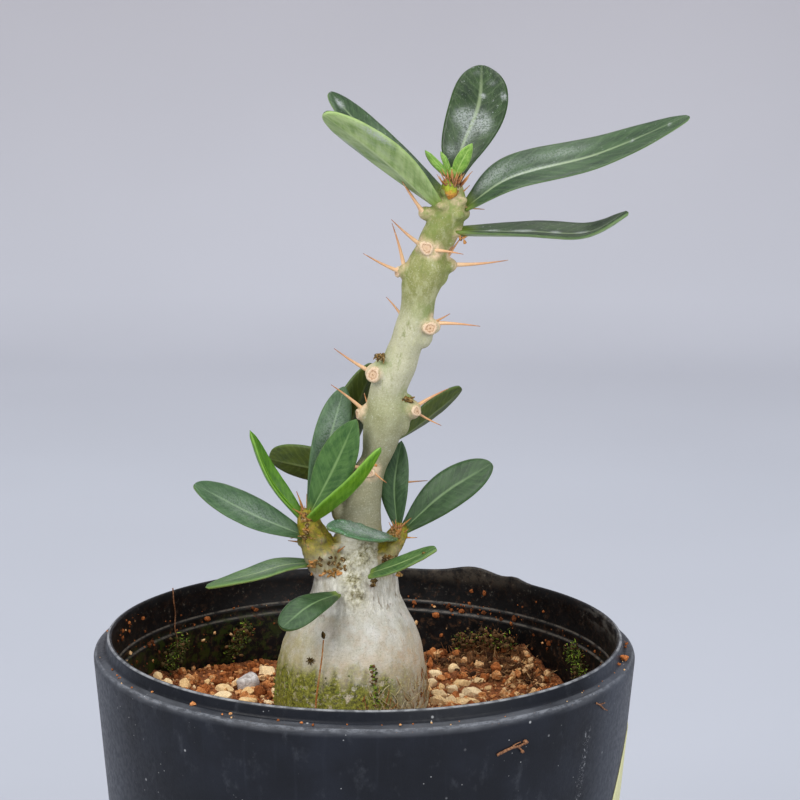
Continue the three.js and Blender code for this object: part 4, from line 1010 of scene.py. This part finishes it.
def build_pot():
    profile = POT_OUTSIDE + POT_INSIDE
    points = [polar(r, a, z + lip_lift(a, z)) for r, z in profile for a in spin(POT_SIDES)]
    piece = new_object("pot_shell", points, closed_faces(len(profile), POT_SIDES), pot_paint())
    drill(piece)
    settle(piece, "pot_plastic", "pot")


def drill(piece):
    """Cuts the drain holes out of the floor."""
    spots = [polar(DRAIN_CIRCLE, a) for a in spin(DRAIN_HOLES, 0.5)]
    rods = [sprig(spot - (0, 0, 2), spot + (0, 0, 4), DRAIN_RADIUS, DRAIN_RADIUS, 24, 1) for spot in spots]
    cutter = new_object("drain_cutter", *joined(rods), piece.data.materials[0])
    cut = piece.modifiers.new("drain", "BOOLEAN")
    cut.operation = "DIFFERENCE"
    cut.solver = "EXACT"
    cut.object = cutter
    applied(piece)
    bpy.data.objects.remove(cutter)


def build_label():
    """A thin sheet bent round the pot: a front, a back and a rim between them."""
    rows, columns = 41, 49
    points = []
    for out in (LABEL["proud"], 0.02):
        for u in np.linspace(0, 1, rows):
            z = LABEL["low"] + u * (LABEL["high"] - LABEL["low"])
            lead = LABEL["lead_high"] + (1 - u) ** 0.8 * (LABEL["lead_low"] - LABEL["lead_high"])
            r = radius_at(POT_OUTSIDE, z) + out
            points += [polar(r, math.radians(a), z) for a in np.linspace(lead, LABEL["end"], columns)]
    under = rows * columns
    faces = grid_faces(rows, columns, False)
    faces += [face[::-1] for face in grid_faces(rows, columns, False, under)]
    sheet = np.arange(under).reshape(rows, columns)
    rim = np.concatenate((sheet[0], sheet[1:, -1], sheet[-1, -2::-1], sheet[-2:0:-1, 0])).tolist()
    faces += [(b, a, a + under, b + under) for a, b in zip(rim, rim[1:] + rim[:1])]
    settle(new_object("label_sheet", points, faces, label_paint()), "label_paper", "label")


def build_wall_dirt():
    """Crumbs of soil that stick to the inner wall and lie in the groove of the lip."""
    draw = np.random.default_rng(61)
    heap = Heap("tint")
    for degrees, spread, height, rise, count in CAUGHT:
        for _ in range(count):
            a = math.radians(degrees + spread * draw.normal())
            z = min(77.0, height + rise * draw.normal())
            size = 0.12 + 0.5 * draw.random() ** 4
            place = polar(radius_at(POT_INSIDE, z) - 0.25 * size, a, z)
            part = rubble(draw, place, size, 0.7, 1.3, 1, 0.5)
            heap.add(part, 0.45 * draw.random() ** 1.5 if draw.random() < 0.85 else 0.95)
    radii, heights = zip(*(POT_OUTSIDE[k] for k in LEDGE))
    for _ in range(60):
        a = draw.uniform(0, 2 * math.pi)
        size = 0.1 + 0.22 * draw.random() ** 3
        r = draw.uniform(43.45, 44.6)
        z = np.interp(r, radii, heights) + lip_lift(a, 76)
        part = crumb(polar(r, a, z + 0.4 * size), (size,) * 3, int(draw.integers(1 << 30)), 1)
        heap.add(part, draw.uniform(0.1, 0.7) if draw.random() < 0.6 else 1.0)
    for x, y, z, size, shade in GROOVE_BITS:
        heap.add(crumb((x, y, z), (size, size * 0.8, size * 0.7), int(size * 1000), 2, 0.5), shade)
    heap.settle("caught_crumbs", clay_paint(), "soil_mix", smooth=False)


def build_pot_bits():
    """Bits of dry root stuck to the outside of the pot, and one root down its inner wall."""
    heap = Heap()
    for points, radius, end in ROOT_BITS:
        heap.add(thread(points, radius, end))
    heap.add(crumb((25.3, -37.2, 71.3), (0.5, 0.34, 0.45), 9, 2, 0.6))
    heap.add(crumb((24.9, -37.6, 69.9), (0.3, 0.25, 0.36), 10, 2, 0.6))
    wall = [polar(radius_at(POT_INSIDE, z) - 0.12, math.radians(144) + turn, z) for z, turn in WALL_ROOT]
    heap.add(thread(wall, 0.13, 0.8))
    heap.settle("dry_roots", straw_paint("dry_root", rgb(150, 104, 70), rgb(88, 56, 38)), "straw")


# The soil and what lies on it

def soil_surface(x, y):
    """Height of the soil with its fine unevenness."""
    spot = Vector((x, y, 0.0))
    angle = math.degrees(math.atan2(y, x))
    heap = bump(angle, 53, 20) * max(0.0, (math.hypot(x, y) - 26) / 12)
    rough = 0.5 * noise.noise(spot * 0.55) + 0.35 * noise.noise(spot * 1.3) + 0.2 * noise.noise(spot * 2.9)
    return float(soil_height(x, y) + rough * (1 + 0.8 * heap))


def build_soil():
    rings, sides = 90, 240
    edge = radius_at(POT_INSIDE, SOIL_LEVEL) - 0.1
    flat = [polar(edge * i / rings, a) for i in range(1, rings + 1) for a in spin(sides)]
    points = [(x, y, soil_surface(x, y)) for x, y, _ in flat]
    walls = (58, 30, 6, POT_FLOOR + 0.2)
    points += [polar(radius_at(POT_INSIDE, z) - 0.2, a, z) for z in walls for a in spin(sides)]
    piece = new_object("soil_mix", points, closed_faces(rings + len(walls), sides, True), soil_paint())
    settle(piece, "soil_mix", "soil")


def build_grains():
    cream = pumice_paint()
    for n, (name, (x, y, rx, ry, rz)) in enumerate(GRAINS.items()):
        place = (x, y, soil_height(x, y) + rz * 0.45)
        if name == "stone_grey":
            stone = crumb(place, (rx, ry, 1.3 * rz), 20, 3, 0.06)
            settle(new_object(name + "_round", *stone, stone_paint()), "grey_stone", name)
            continue
        heap = Heap("tint")
        heap.add(crumb(place, (rx, ry, rz), 20 + n, 3, 0.05, 12), 0.35 + 0.6 * (n * 37 % 10) / 10)
        heap.settle(name + "_rough", cream, "cream_pumice", name, smooth=False)


def drawn_spot(draw, reach):
    """A place on the soil within the reach of the pot's axis, and its distance from it."""
    r = reach * math.sqrt(draw.random())
    x, y, _ = polar(r, draw.uniform(0, 2 * math.pi))
    return x, y, r


def off_caudex(x, y):
    return math.hypot(x - CAUDEX_X, y) > CAUDEX_CLEAR


def off_grains(x, y, size):
    """True when a crumb of this size would not sit in one of the bigger grains."""
    big = [(gx, gy, max(rx, ry)) for gx, gy, rx, ry, _ in GRAINS.values()] + PUMICE
    return all(math.hypot(x - gx, y - gy) > 0.8 * (r + size) for gx, gy, r in big)


def hill(x, y, middle_x, middle_y, spread):
    return math.exp(-((x - middle_x) ** 2 + (y - middle_y) ** 2) / spread)


def build_crumbs():
    """The top of the soil: many crumbs of baked clay, fewer of pumice, laid by a seeded draw."""
    draw = np.random.default_rng(7)
    clay, pumice = Heap("tint"), Heap("tint")
    while len(clay.parts) < CLAY_CRUMBS:
        x, y, r = drawn_spot(draw, 40.3)
        size = 0.24 + 0.8 * draw.random() ** 2.6
        if not off_caudex(x, y) or r + size > SOIL_REACH or not off_grains(x, y, size):
            continue
        place = (x, y, soil_surface(x, y) + size * draw.uniform(0.05, 0.75))
        part = rubble(draw, place, size, 0.6, 1.3, 1 if size < 0.7 else 2, 0.5)
        clay.add(part, min(1.0, draw.random() + 0.3 * hill(x, y, 26, 18, 160)))
    for x, y, size in PUMICE:
        place = (x, y, soil_surface(x, y) + 0.35 * size)
        pumice.add(rubble(draw, place, size, 0.75, 1.2, 3, 0.06, 12), draw.uniform(0.4, 1.0))
    while len(pumice.parts) < PUMICE_CRUMBS:
        x, y, r = drawn_spot(draw, 39.5)
        near = hill(x, y, 15, 9, 110) + 0.25 * hill(x, y, -26, 10, 160)
        size = 0.3 + 0.55 * draw.random() ** 2
        if not off_caudex(x, y) or draw.random() > near + 0.05 or r + size > SOIL_REACH:
            continue
        place = (x, y, soil_surface(x, y) + size * draw.uniform(0.2, 0.6))
        pumice.add(rubble(draw, place, size, 0.7, 1.3, 2, 0.15, 10), draw.random())
    clay.settle("clay_crumbs", clay_paint(), "soil_mix", smooth=False)
    pumice.settle("pumice_crumbs", pumice_paint(), "cream_pumice", smooth=False)


def build_heap():
    """Brown fibrous lumps and root hairs heaped against the wall at the back right."""
    draw = np.random.default_rng(45)
    heap = Heap("tint")
    for _ in range(170):
        degrees = 53 + 13 * draw.normal()
        x, y, _ = polar(min(39.6, 36.5 + 2.6 * draw.normal()), math.radians(degrees))
        size = 0.35 + 0.9 * draw.random() ** 2
        place = (x, y, soil_surface(x, y) + size * draw.uniform(0.0, 0.7))
        heap.add(rubble(draw, place, size, 0.6, 1.3, 2, 0.7), draw.uniform(0.0, 0.6))
    for k in range(520):
        heaped = k < 400
        degrees = 53 + 14 * draw.normal() if heaped else draw.uniform(0, 360)
        r = min(39.8, 36 + 3.2 * draw.normal()) if heaped else draw.uniform(16, 39)
        x, y, _ = polar(r, math.radians(degrees))
        root = np.array((x, y, soil_surface(x, y) + draw.uniform(-0.2, 0.9 if heaped else 0.2)))
        way = unit(draw.normal(size=3) * (1, 1, 0.6) + (0, 0, 0.35))
        tip = inside_wall(root + way * draw.uniform(0.8, 2.8))
        part = sprig(root, tip, draw.uniform(0.06, 0.14), 0.03, 4, 3, draw.uniform(-0.15, 0.15))
        heap.add(part, draw.uniform(0.2, 1.0))
    fibre = crumb_paint("fibre", [(0.0, 58, 36, 22), (0.4, 112, 74, 46), (0.75, 158, 112, 70),
                                  (1.0, 204, 166, 118)])
    heap.settle("heap_fibre", fibre, "soil_mix", smooth=False)


def inside_wall(spot):
    """The place itself, drawn in to the inner wall of the pot when it lies beyond it."""
    reach = radius_at(POT_INSIDE, spot[2]) - 0.12
    spot = np.array(spot, float)
    spot[:2] *= min(1.0, reach / np.linalg.norm(spot[:2]))
    return spot


def build_moss():
    """Moss on the inner wall: small crumbs and short leafy tips."""
    paint = moss_paint()
    for n, (name, (low, high, rows)) in enumerate(MOSS.items()):
        draw = np.random.default_rng(300 + n)
        heap = Heap("tint")
        for degrees, out, z, r in rows:
            outward = polar(1, math.radians(degrees))
            for k in range(84):
                root = inside_wall(outward * out + (0, 0, z) + draw.normal(size=3) * r * 0.48)
                if k % 3 == 0:
                    size = r * draw.uniform(0.1, 0.3)
                    part = crumb(root, size * draw.uniform(0.6, 1.3, 3), 400 + 90 * n + k, 1, 0.5)
                    shade = draw.uniform(low, 0.5 * (low + high))
                else:
                    way = unit(draw.normal(size=3) * 0.9 - 0.5 * outward + (0, 0, 0.5))
                    tip = inside_wall(root + way * draw.uniform(0.3, 0.8))
                    part = sprig(root, tip, 0.13, 0.03, 4, 2)
                    shade = draw.uniform(low, high) if draw.random() < 0.85 else 0.95
                heap.add(part, shade)
        heap.settle(name + "_tufts", paint, "moss", name)


def build_straw():
    root, point = (np.array((x, y, soil_height(x, y) + above)) for x, y, above in STRAW)
    heap = Heap()
    heap.add(sprig(root, point, 0.42, 0.3, 10, 8, 0.02))
    heap.add(sprig(root + (0.1, 0.1, 0.25), point + (-0.3, 0.7, 0.5), 0.18, 0.05, 6, 6, 0.05))
    heap.settle("straw_bit", straw_paint(), "straw", "straw")


# The plant

def build_stem():
    trunk = [(x, 0.0, z, r) for x, z, r in TRUNK]
    tubes = ((trunk, 48), (LEFT_SHOOT, 32), (RIGHT_SHOOT, 32))
    parts = [tube(smooth_rows(rows, 4), sides) for rows, sides in tubes]
    ball, ball_faces = BALLS[3]
    for x, y, z, rx, ry, rz in KNOBS:
        parts.append((ball * (rx, ry, rz) + (x, y, z), ball_faces))
        if z > 100:
            # The old leaf base runs down into the trunk below each knob
            axis = np.interp(z, [row[1] for row in TRUNK], [row[0] for row in TRUNK])
            low = (x + 0.35 * (axis - x), 0.6 * y, z - 1.2 * rz)
            parts.append((ball * (0.8 * rx, 0.8 * ry, 1.5 * rz) + low, ball_faces))
    parts += [(ball * (r, r, 0.8 * r) + (x, y, z), ball_faces) for x, y, z, r in STUBS]
    piece = new_object("stem_bark", *joined(parts), bark_paint())
    remesh = piece.modifiers.new("one_skin", "REMESH")
    remesh.mode = "VOXEL"
    remesh.voxel_size = 0.3 * MM
    soften = piece.modifiers.new("soften", "SMOOTH")
    soften.factor = 0.5
    soften.iterations = 5
    applied(piece)
    shape_bark(piece.data)
    piece.data.polygons.foreach_set("use_smooth", [True] * len(piece.data.polygons))
    settle(piece, "bark", "stem")
    return piece


def near_any(points, centres, radius, gain=1.0):
    """For each point, how near it is to any centre: 0 at the radius, rising by the gain up to 1."""
    best = np.full(len(points), 1e9)
    for centre in centres:
        best = np.minimum(best, np.linalg.norm(points - np.asarray(centre), axis=1))
    return np.clip(gain * np.clip(1 - best / radius, 0, 1), 0, 1)


def on_skin(piece, spot, way):
    """The place on the piece met from outside against the way, near the spot; else the spot."""
    spot, way = np.asarray(spot, float), unit(way)
    start = Vector(((spot + 6 * way) * MM).tolist())
    hit, place, _, _ = piece.ray_cast(start, Vector((-way).tolist()), distance=12 * MM)
    return np.array(place) / MM if hit else spot


def wander(points, stretch):
    """Smooth noise at the points, with its own scale along each axis."""
    return np.array([noise.noise(Vector(p * stretch)) for p in points])


def shape_bark(mesh):
    """Pushes the bark's skin in and out, and marks where its finish changes."""
    count = len(mesh.vertices)
    points, normals = np.zeros(count * 3), np.zeros(count * 3, np.float32)
    mesh.vertices.foreach_get("co", points)
    mesh.vertices.foreach_get("normal", normals)
    points, normals = points.reshape(-1, 3) / MM, normals.reshape(-1, 3)
    x, _, z = points.T
    left = near_any(points, [row[:3] for row in LEFT_SHOOT[1:]], 5.0)
    left = left * np.clip((z - 88.6) / 0.8, 0, 1) * (x < -4.0)
    right = near_any(points, [row[:3] for row in RIGHT_SHOOT[1:]], 3.6) * (x > 2.0)
    roots = [root for root, _ in SPINES if root[2] > 100]
    lumps = wander(points, (0.9, 0.9, 0.35))
    grain = wander(points, (2.2, 2.2, 1.4))
    split = wander(points, (1.6, 1.6, 0.3))
    layers = dict(
        neck=bump(z, 84.5, 4.0),
        rough=near_any(points, ROUGH_SPOTS, 2.9, 1.4),
        shoot=np.clip(2.2 * np.maximum(left, right), 0, 1),
        stub=near_any(points, [row[:3] for row in STUBS], 1.7, 2),
        knob=np.maximum(near_any(points, [centre for centre, _, _ in SCARS] + WOOLLY_SPOTS, 2.0, 1.8),
                        near_any(points, roots, 1.9, 2.2)),
        green=np.maximum(np.clip((z - 143) / 7, 0, 0.9), near_any(points, GREEN_SPOTS, 3.0)),
        algae=np.clip((75.6 - z + 2.6 * lumps) / 4, 0, 1) * np.clip((9.5 - x) / 6, 0.15, 1))
    push = 0.05 * lumps + 0.1 * lumps * np.clip((92 - z) / 14, 0, 1) + 0.025 * grain
    push += layers["rough"] * (0.6 * grain + 0.3 * lumps)
    push -= 0.2 * layers["neck"] * np.maximum(0, split * 2 - 0.3)
    push += layers["shoot"] * 0.15 * grain
    mesh.vertices.foreach_set("co", ((points + normals * push[:, None]) * MM).ravel())
    for layer, values in layers.items():
        add_layer(mesh, layer, values)
    mesh.update()


def build_spines():
    heap = Heap("along", "red")
    for n, (root, point) in enumerate(SPINES):
        root, point = np.array(root), np.array(point)
        way = unit(point - root)
        short = np.linalg.norm(point - root) < 4.6
        part = sprig(root - way * 0.9, point, 0.3 if short else 0.44, 0.05, 10, 9, 0.02 * (-1) ** n, 0.8)
        red = 0.9 if root[2] < 100 else 0.35 if short else 0.0
        heap.add(part, np.repeat(np.linspace(0, 1, 10), 10), red)
    draw = np.random.default_rng(88)
    for x, y, z, wide, deep, count, least, most in BRISTLES:
        for n in range(count):
            dx, dy, _ = polar(math.sqrt((n + 0.5) / count), n * EVEN_TURN)
            root = np.array((x + wide * dx, y + deep * dy, z + draw.uniform(-0.8, 0.6)))
            way = unit((0.9 * dx + 0.1, 0.7 * dy - 0.3, 1.0))
            part = sprig(root, root + way * draw.uniform(least, most), 0.18, 0.03, 7, 5, 0.03, 0.9)
            heap.add(part, np.repeat(np.linspace(0, 1, 6), 7), draw.uniform(0.6, 1.0))
    heap.settle("spines", spine_paint(), "bark")


def build_scales(stem):
    """Dry brown scales of old buds, on the trunk's knobs and round the shoots."""
    draw = np.random.default_rng(17)
    heap = Heap("tint")
    for x, y, z, rx, ry, rz, count, length, shade in SCALES:
        for _ in range(count):
            spread = draw.uniform(-1, 1, 3)
            root = on_skin(stem, np.array((x, y, z)) + spread * (rx, ry, rz), (0, -1, 0.1))
            way = unit((0.9 * draw.uniform(-1, 1), -0.4, draw.uniform(-0.7, 0.7)))
            tip = root + way * length * draw.uniform(0.6, 1.2)
            part = sprig(root - way * 0.3, tip, 0.32, 0.08, 5, 4, draw.uniform(-0.1, 0.1), 1.4)
            heap.add(part, shade + draw.uniform(-0.25, 0.25))
    heap.settle("dry_scales", scale_paint(), "bark")


def on_caudex(degrees, z, proud):
    """A place on the skin of the caudex, or a little off it."""
    x, heights, radii = zip(*TRUNK)
    r = np.interp(z, heights, radii) + proud
    return polar(r, math.radians(degrees), z) + (np.interp(z, heights, x), 0, 0)


def build_foot():
    """Moss, root hairs and a thin moss stalk at the foot of the caudex."""
    draw = np.random.default_rng(52)
    moss, hairs = Heap("tint"), Heap("tint")
    for _ in range(1500):
        degrees, z = draw.uniform(-180, 180), 63.5 + 10.5 * draw.random() ** 1.4
        spot = on_caudex(degrees, z, -0.1)
        patch = noise.noise(Vector(spot * 0.5)) + 0.12
        if spot[0] > 5 or draw.random() > 2.4 * patch * (1.35 - (z - 63) / 11):
            continue
        way = unit(on_caudex(degrees, z, 1) - spot + draw.normal(size=3) * 0.5 + (0, 0, 0.5))
        part = sprig(spot, spot + way * draw.uniform(0.25, 0.65), 0.13, 0.04, 4, 2)
        moss.add(part, draw.uniform(0.5, 1.0))
    for k in range(60):
        z = 75.4 - 6.6 * k / 60
        spot = np.array((1.4 + 0.5 * draw.normal(), -11.3 - 0.13 * (75.4 - z), z))
        part = crumb(spot, draw.uniform(0.12, 0.36, 3), 900 + k, 1, 0.6)
        moss.add(part, draw.choice((0.05, 0.2, 0.5, 0.85)))
    moss.settle("foot_moss", moss_paint(), "moss")
    for _ in range(150):
        degrees, z = draw.uniform(-82, 8), draw.uniform(64, 70.8)
        root = on_caudex(degrees, z, 0.05)
        tip = on_caudex(degrees + 5 * draw.normal(), z + draw.uniform(1.0, 2.6), draw.uniform(0.05, 0.7))
        hairs.add(sprig(root, tip, 0.11, 0.03, 4, 4, draw.uniform(-0.1, 0.1)), draw.uniform(0.55, 1.0))
    hairs.add(thread(MOSS_STALK, 0.17, 0.7), 0.62)
    hairs.add(crumb((-6.6, -10.9, 80.4), (0.36, 0.32, 0.75), 3, 2, 0.2), 0.1)
    root = np.array((-8.8, -9.7, 75.8))
    for k in range(9):
        dx, dz, _ = polar(1, k * EVEN_TURN)
        hairs.add(sprig(root, root + unit((dx, -0.9, dz)) * 0.95, 0.2, 0.05, 5, 2), 0.12)
    paint = crumb_paint("root_hair", [(0.0, 64, 50, 24), (0.3, 108, 84, 42), (0.62, 176, 112, 58),
                                      (0.8, 196, 178, 130), (1.0, 216, 206, 170)])
    hairs.settle("foot_hairs", paint, "straw")


def build_scars(stem):
    """Round leaf scars: a low raised ring round a disc, set on the bark."""
    heap = Heap("ring")
    rows = [(0.25, 0.12), (0.48, 0.02), (0.62, 0.12), (0.85, 0.12), (1.0, 0.0), (1.15, -0.4)]
    sides = 28
    for n, (centre, way, size) in enumerate(SCARS):
        way = unit(way)
        centre = on_skin(stem, centre, way) + way * 0.08
        side = unit(np.cross(way, (0, 0, 1)))
        up = np.cross(side, way)
        points = []
        for r, h in rows:
            for a in spin(sides):
                wave = 1 + 0.1 * math.sin(2 * a + 2 * n) + 0.07 * math.sin(3 * a + n)
                spot = (math.cos(a) * side + math.sin(a) * up) * r * 0.92 * size * wave + way * h * 0.8
                points.append(centre + spot)
        hub = len(points)
        points.append(centre + way * 0.08)
        faces = grid_faces(len(rows), sides, True) + [(hub, (k + 1) % sides, k) for k in range(sides)]
        heap.add((np.array(points), faces), np.append(np.repeat([r / 1.15 for r, _ in rows], sides), 0.0))
    heap.settle("leaf_scars", scar_paint(), "bark")


def build_leaf_tip(leaf):
    """The dry brown spot near the point of the low right leaf."""
    spot = on_skin(leaf, (9.7, -12.6, 94.8), (-0.2, -0.35, 0.9))
    heap = Heap()
    heap.add(crumb(spot, (0.55, 0.4, 0.24), 31, 2, 0.5))
    heap.add(crumb(spot + (0.9, 0.0, 0.35), (0.3, 0.3, 0.14), 32, 2, 0.4))
    heap.settle("leaf_spot", straw_paint("dry_spot", rgb(120, 100, 40), rgb(70, 52, 22)), "leaf")


def leaf_width(t, leaf):
    if t < leaf["peak"]:
        rise = math.sin(math.pi / 2 * t / leaf["peak"]) ** leaf["rise"]
        return leaf["root"] + (1 - leaf["root"]) * rise
    q = (t - leaf["peak"]) / (1 - leaf["peak"])
    return max(0.03, (1 - q ** 2.2) ** leaf["blunt"])


def blade(name, leaf, rows=64, columns=20):
    """A leaf with a rounded margin, a channel along the midrib above and a rib below."""
    leaf = {**LEAF, **leaf}
    points, marks, lime = [], [], []
    wrinkle = 0.22 if leaf["finish"] == "wrinkled" else 0.05
    around = [(-1 + 2 * j / columns, 1) for j in range(columns + 1)]
    around += [(1 - 2 * j / columns, -1) for j in range(1, columns)]
    step = 1e-3
    for i in range(rows + 1):
        t = 1 - (1 - i / rows) ** 1.35
        middle = smooth_line(leaf["rib"], t)
        along = unit(smooth_line(leaf["rib"], min(1, t + step)) - smooth_line(leaf["rib"], max(0, t - step)))
        up = np.array(leaf["face"]) * (1 - t) + np.array(leaf.get("end", leaf["face"])) * t
        up = unit(up - along * (up @ along))
        across = np.cross(along, up)
        half = leaf["width"] / 2 * leaf_width(t, leaf)
        fold = leaf["fold"][0] + (leaf["fold"][1] - leaf["fold"][0]) * t
        thick = min(LEAF_THICKNESS / 2, 0.9 * half)
        for s, side in around:
            lift = fold * half * (abs(s) ** 1.4 - 0.45) + side * thick * math.sqrt(max(0.0, 1 - abs(s) ** 5))
            if side > 0:
                lift -= 0.14 * math.exp(-((s * half / 0.32) ** 2)) * (1 - t)
            else:
                lift -= 0.3 * math.exp(-((s * half / 0.5) ** 2)) * (1 - t) ** 0.6
            lift += wrinkle * noise.noise(Vector((t * 9, s * 2.2, len(name)))) * min(1.0, 4 * t)
            points.append(middle + across * s * half + up * lift)
            marks.append((t, s, 0 if abs(s) == 1 else side))
            lime.append(lime_and_highlights_at(LIME_AND_HIGHLIGHTS.get(name, ()), t, s))
    faces = closed_faces(rows + 1, 2 * columns, True)
    return (np.array(points), faces), np.array(marks), len(name) * 3.7 % 11, np.array(lime)


def lime_and_highlights_at(spots, t, s):
    """How much lime and painted highlight lies at a place on a blade: t along it, s across it."""
    total = 0.0
    for strength, along, length, across, width, *lean in spots:
        side = abs(s) if lean else s
        middle = along - lean[0] * side if lean else along
        total += strength * bump(t, middle, length) * bump(side, across, width)
    return float(min(1.0, total))


def build_leaves():
    paints = {name: leaf_paint(name, row) for name, row in FINISHES.items()}
    slots = dict(young="young_leaf", pale="pale_leaf")
    for name, leaf in LEAVES.items():
        heap = Heap("blade", "seed", "lime")
        heap.add(*blade(name, leaf))
        slot = "pale_leaf" if name == "leaf_right_low" else slots.get(leaf["finish"], "leaf")
        heap.settle(name + "_blade", paints[leaf["finish"]], slot, name)
    heap = Heap("blade", "seed", "lime")
    for n, leaf in enumerate(BUD_LEAVES):
        heap.add(*blade("bud" + "x" * n, leaf, 24, 8))
    for n, (x, y, z, *sizes) in enumerate(BUD_HEARTS):
        heart = crumb((x, y, z), sizes, 5 + n, 3, 0.05)
        heap.add(heart, np.tile((0.03, 0.5, 1.0), (len(heart[0]), 1)), 0.0, 0.0)
    heap.settle("crown_bud_leaves", paints["bud"], "young_leaf", "crown_bud")


def build_bud_heart():
    """The swollen bud under the young leaves: orange-brown below, yellow-green above."""
    x, y, z, rx, ry, rz = BUD_HEARTS[1]
    part = crumb((x, y - 0.25, z - 0.4), (1.15 * rx, ry, 1.1 * rz), 6, 3, 0.08)
    heights = part[0][:, 2]
    heap = Heap("tint")
    heap.add(part, (heights - heights.min()) / np.ptp(heights))
    paint = crumb_paint("bud_heart", [(0.0, 184, 112, 52), (0.35, 206, 156, 66), (0.55, 170, 178, 50),
                                      (1.0, 140, 172, 60)], 0.5, 0.8)
    heap.settle("crown_bud_heart", paint, "young_leaf")


# The studio

def build_stage():
    """A floor that curves up into a backdrop."""
    bend, far, top, wide = 260.0, 900.0, 900.0, 1600.0
    line = [(-900.0, 0.0), (-400.0, 0.0), (0.0, 0.0)]
    line += [(far - bend + bend * math.sin(a), bend - bend * math.cos(a))
             for a in np.linspace(0, math.pi / 2, 24)]
    line.append((far, top))
    points, layer = [], []
    for y, z in line:
        # How far along the sheet each row lies; it picks the sheet's painted light and shade
        share = min(1.0, max(0.0, (y / far) * 0.6 + z / 400 * 0.4))
        for x in (-wide, 0.0, wide):
            points.append((x, y, z))
            layer.append(share)
    faces = [face[::-1] for face in grid_faces(len(line), 3, False)]
    piece = new_object("studio_sheet", points, faces, stage_paint(), layers={"far": layer})


def build_light(name, place, aim, size, power, colour=(1, 1, 1)):
    data = bpy.data.lights.new(name, "AREA")
    data.shape = "RECTANGLE"
    data.size, data.size_y = size[0] * MM, size[1] * MM
    data.energy = power
    data.color = colour
    lamp = bpy.data.objects.new(name, data)
    lamp.location = Vector(place) * MM
    lamp.rotation_euler = (Vector(aim) - Vector(place)).to_track_quat("-Z", "Y").to_euler()
    bpy.context.scene.collection.objects.link(lamp)


def build_studio():
    build_stage()
    world = bpy.data.worlds.new("studio")
    world.use_nodes = True
    world.node_tree.nodes["Background"].inputs["Color"].default_value = (0.95, 0.97, 1.0, 1)
    world.node_tree.nodes["Background"].inputs["Strength"].default_value = 0.42
    bpy.context.scene.world = world
    build_light("key", (-420, -420, 560), (0, 0, 100), (460, 460), 4.2, (1.0, 0.99, 0.97))
    build_light("top", (60, 120, 780), (0, 0, 90), (700, 500), 3.0)
    build_light("fill", (420, -560, 360), (0, 0, 90), (560, 560), 3.4, (0.98, 0.99, 1.0))


def build_camera():
    pitch, roll = math.radians(CAMERA_PITCH), math.radians(CAMERA_ROLL)
    ahead = Vector((0, math.cos(pitch), -math.sin(pitch)))
    right = Vector((1, 0, 0))
    up = right.cross(ahead)
    across = math.cos(roll) * right + math.sin(roll) * up
    high = -math.sin(roll) * right + math.cos(roll) * up
    data = bpy.data.cameras.new("camera")
    data.lens = CAMERA_LENS
    data.sensor_width = 36
    data.clip_start, data.clip_end = 0.01, 10
    camera = bpy.data.objects.new("camera", data)
    camera.matrix_world = Matrix((across, high, -ahead)).transposed().to_4x4()
    camera.location = Vector(CAMERA_PLACE) * MM
    bpy.context.scene.collection.objects.link(camera)
    bpy.context.scene.camera = camera


build_camera()
build_studio()
build_pot()
build_label()
build_wall_dirt()
build_pot_bits()
build_soil()
build_grains()
build_crumbs()
build_heap()
build_moss()
build_straw()
stem = build_stem()
build_spines()
build_scales(stem)
build_scars(stem)
build_foot()
build_leaves()
build_bud_heart()
build_leaf_tip(bpy.data.objects["leaf_right_low_blade"])
bpy.context.scene.view_settings.view_transform = "Standard"
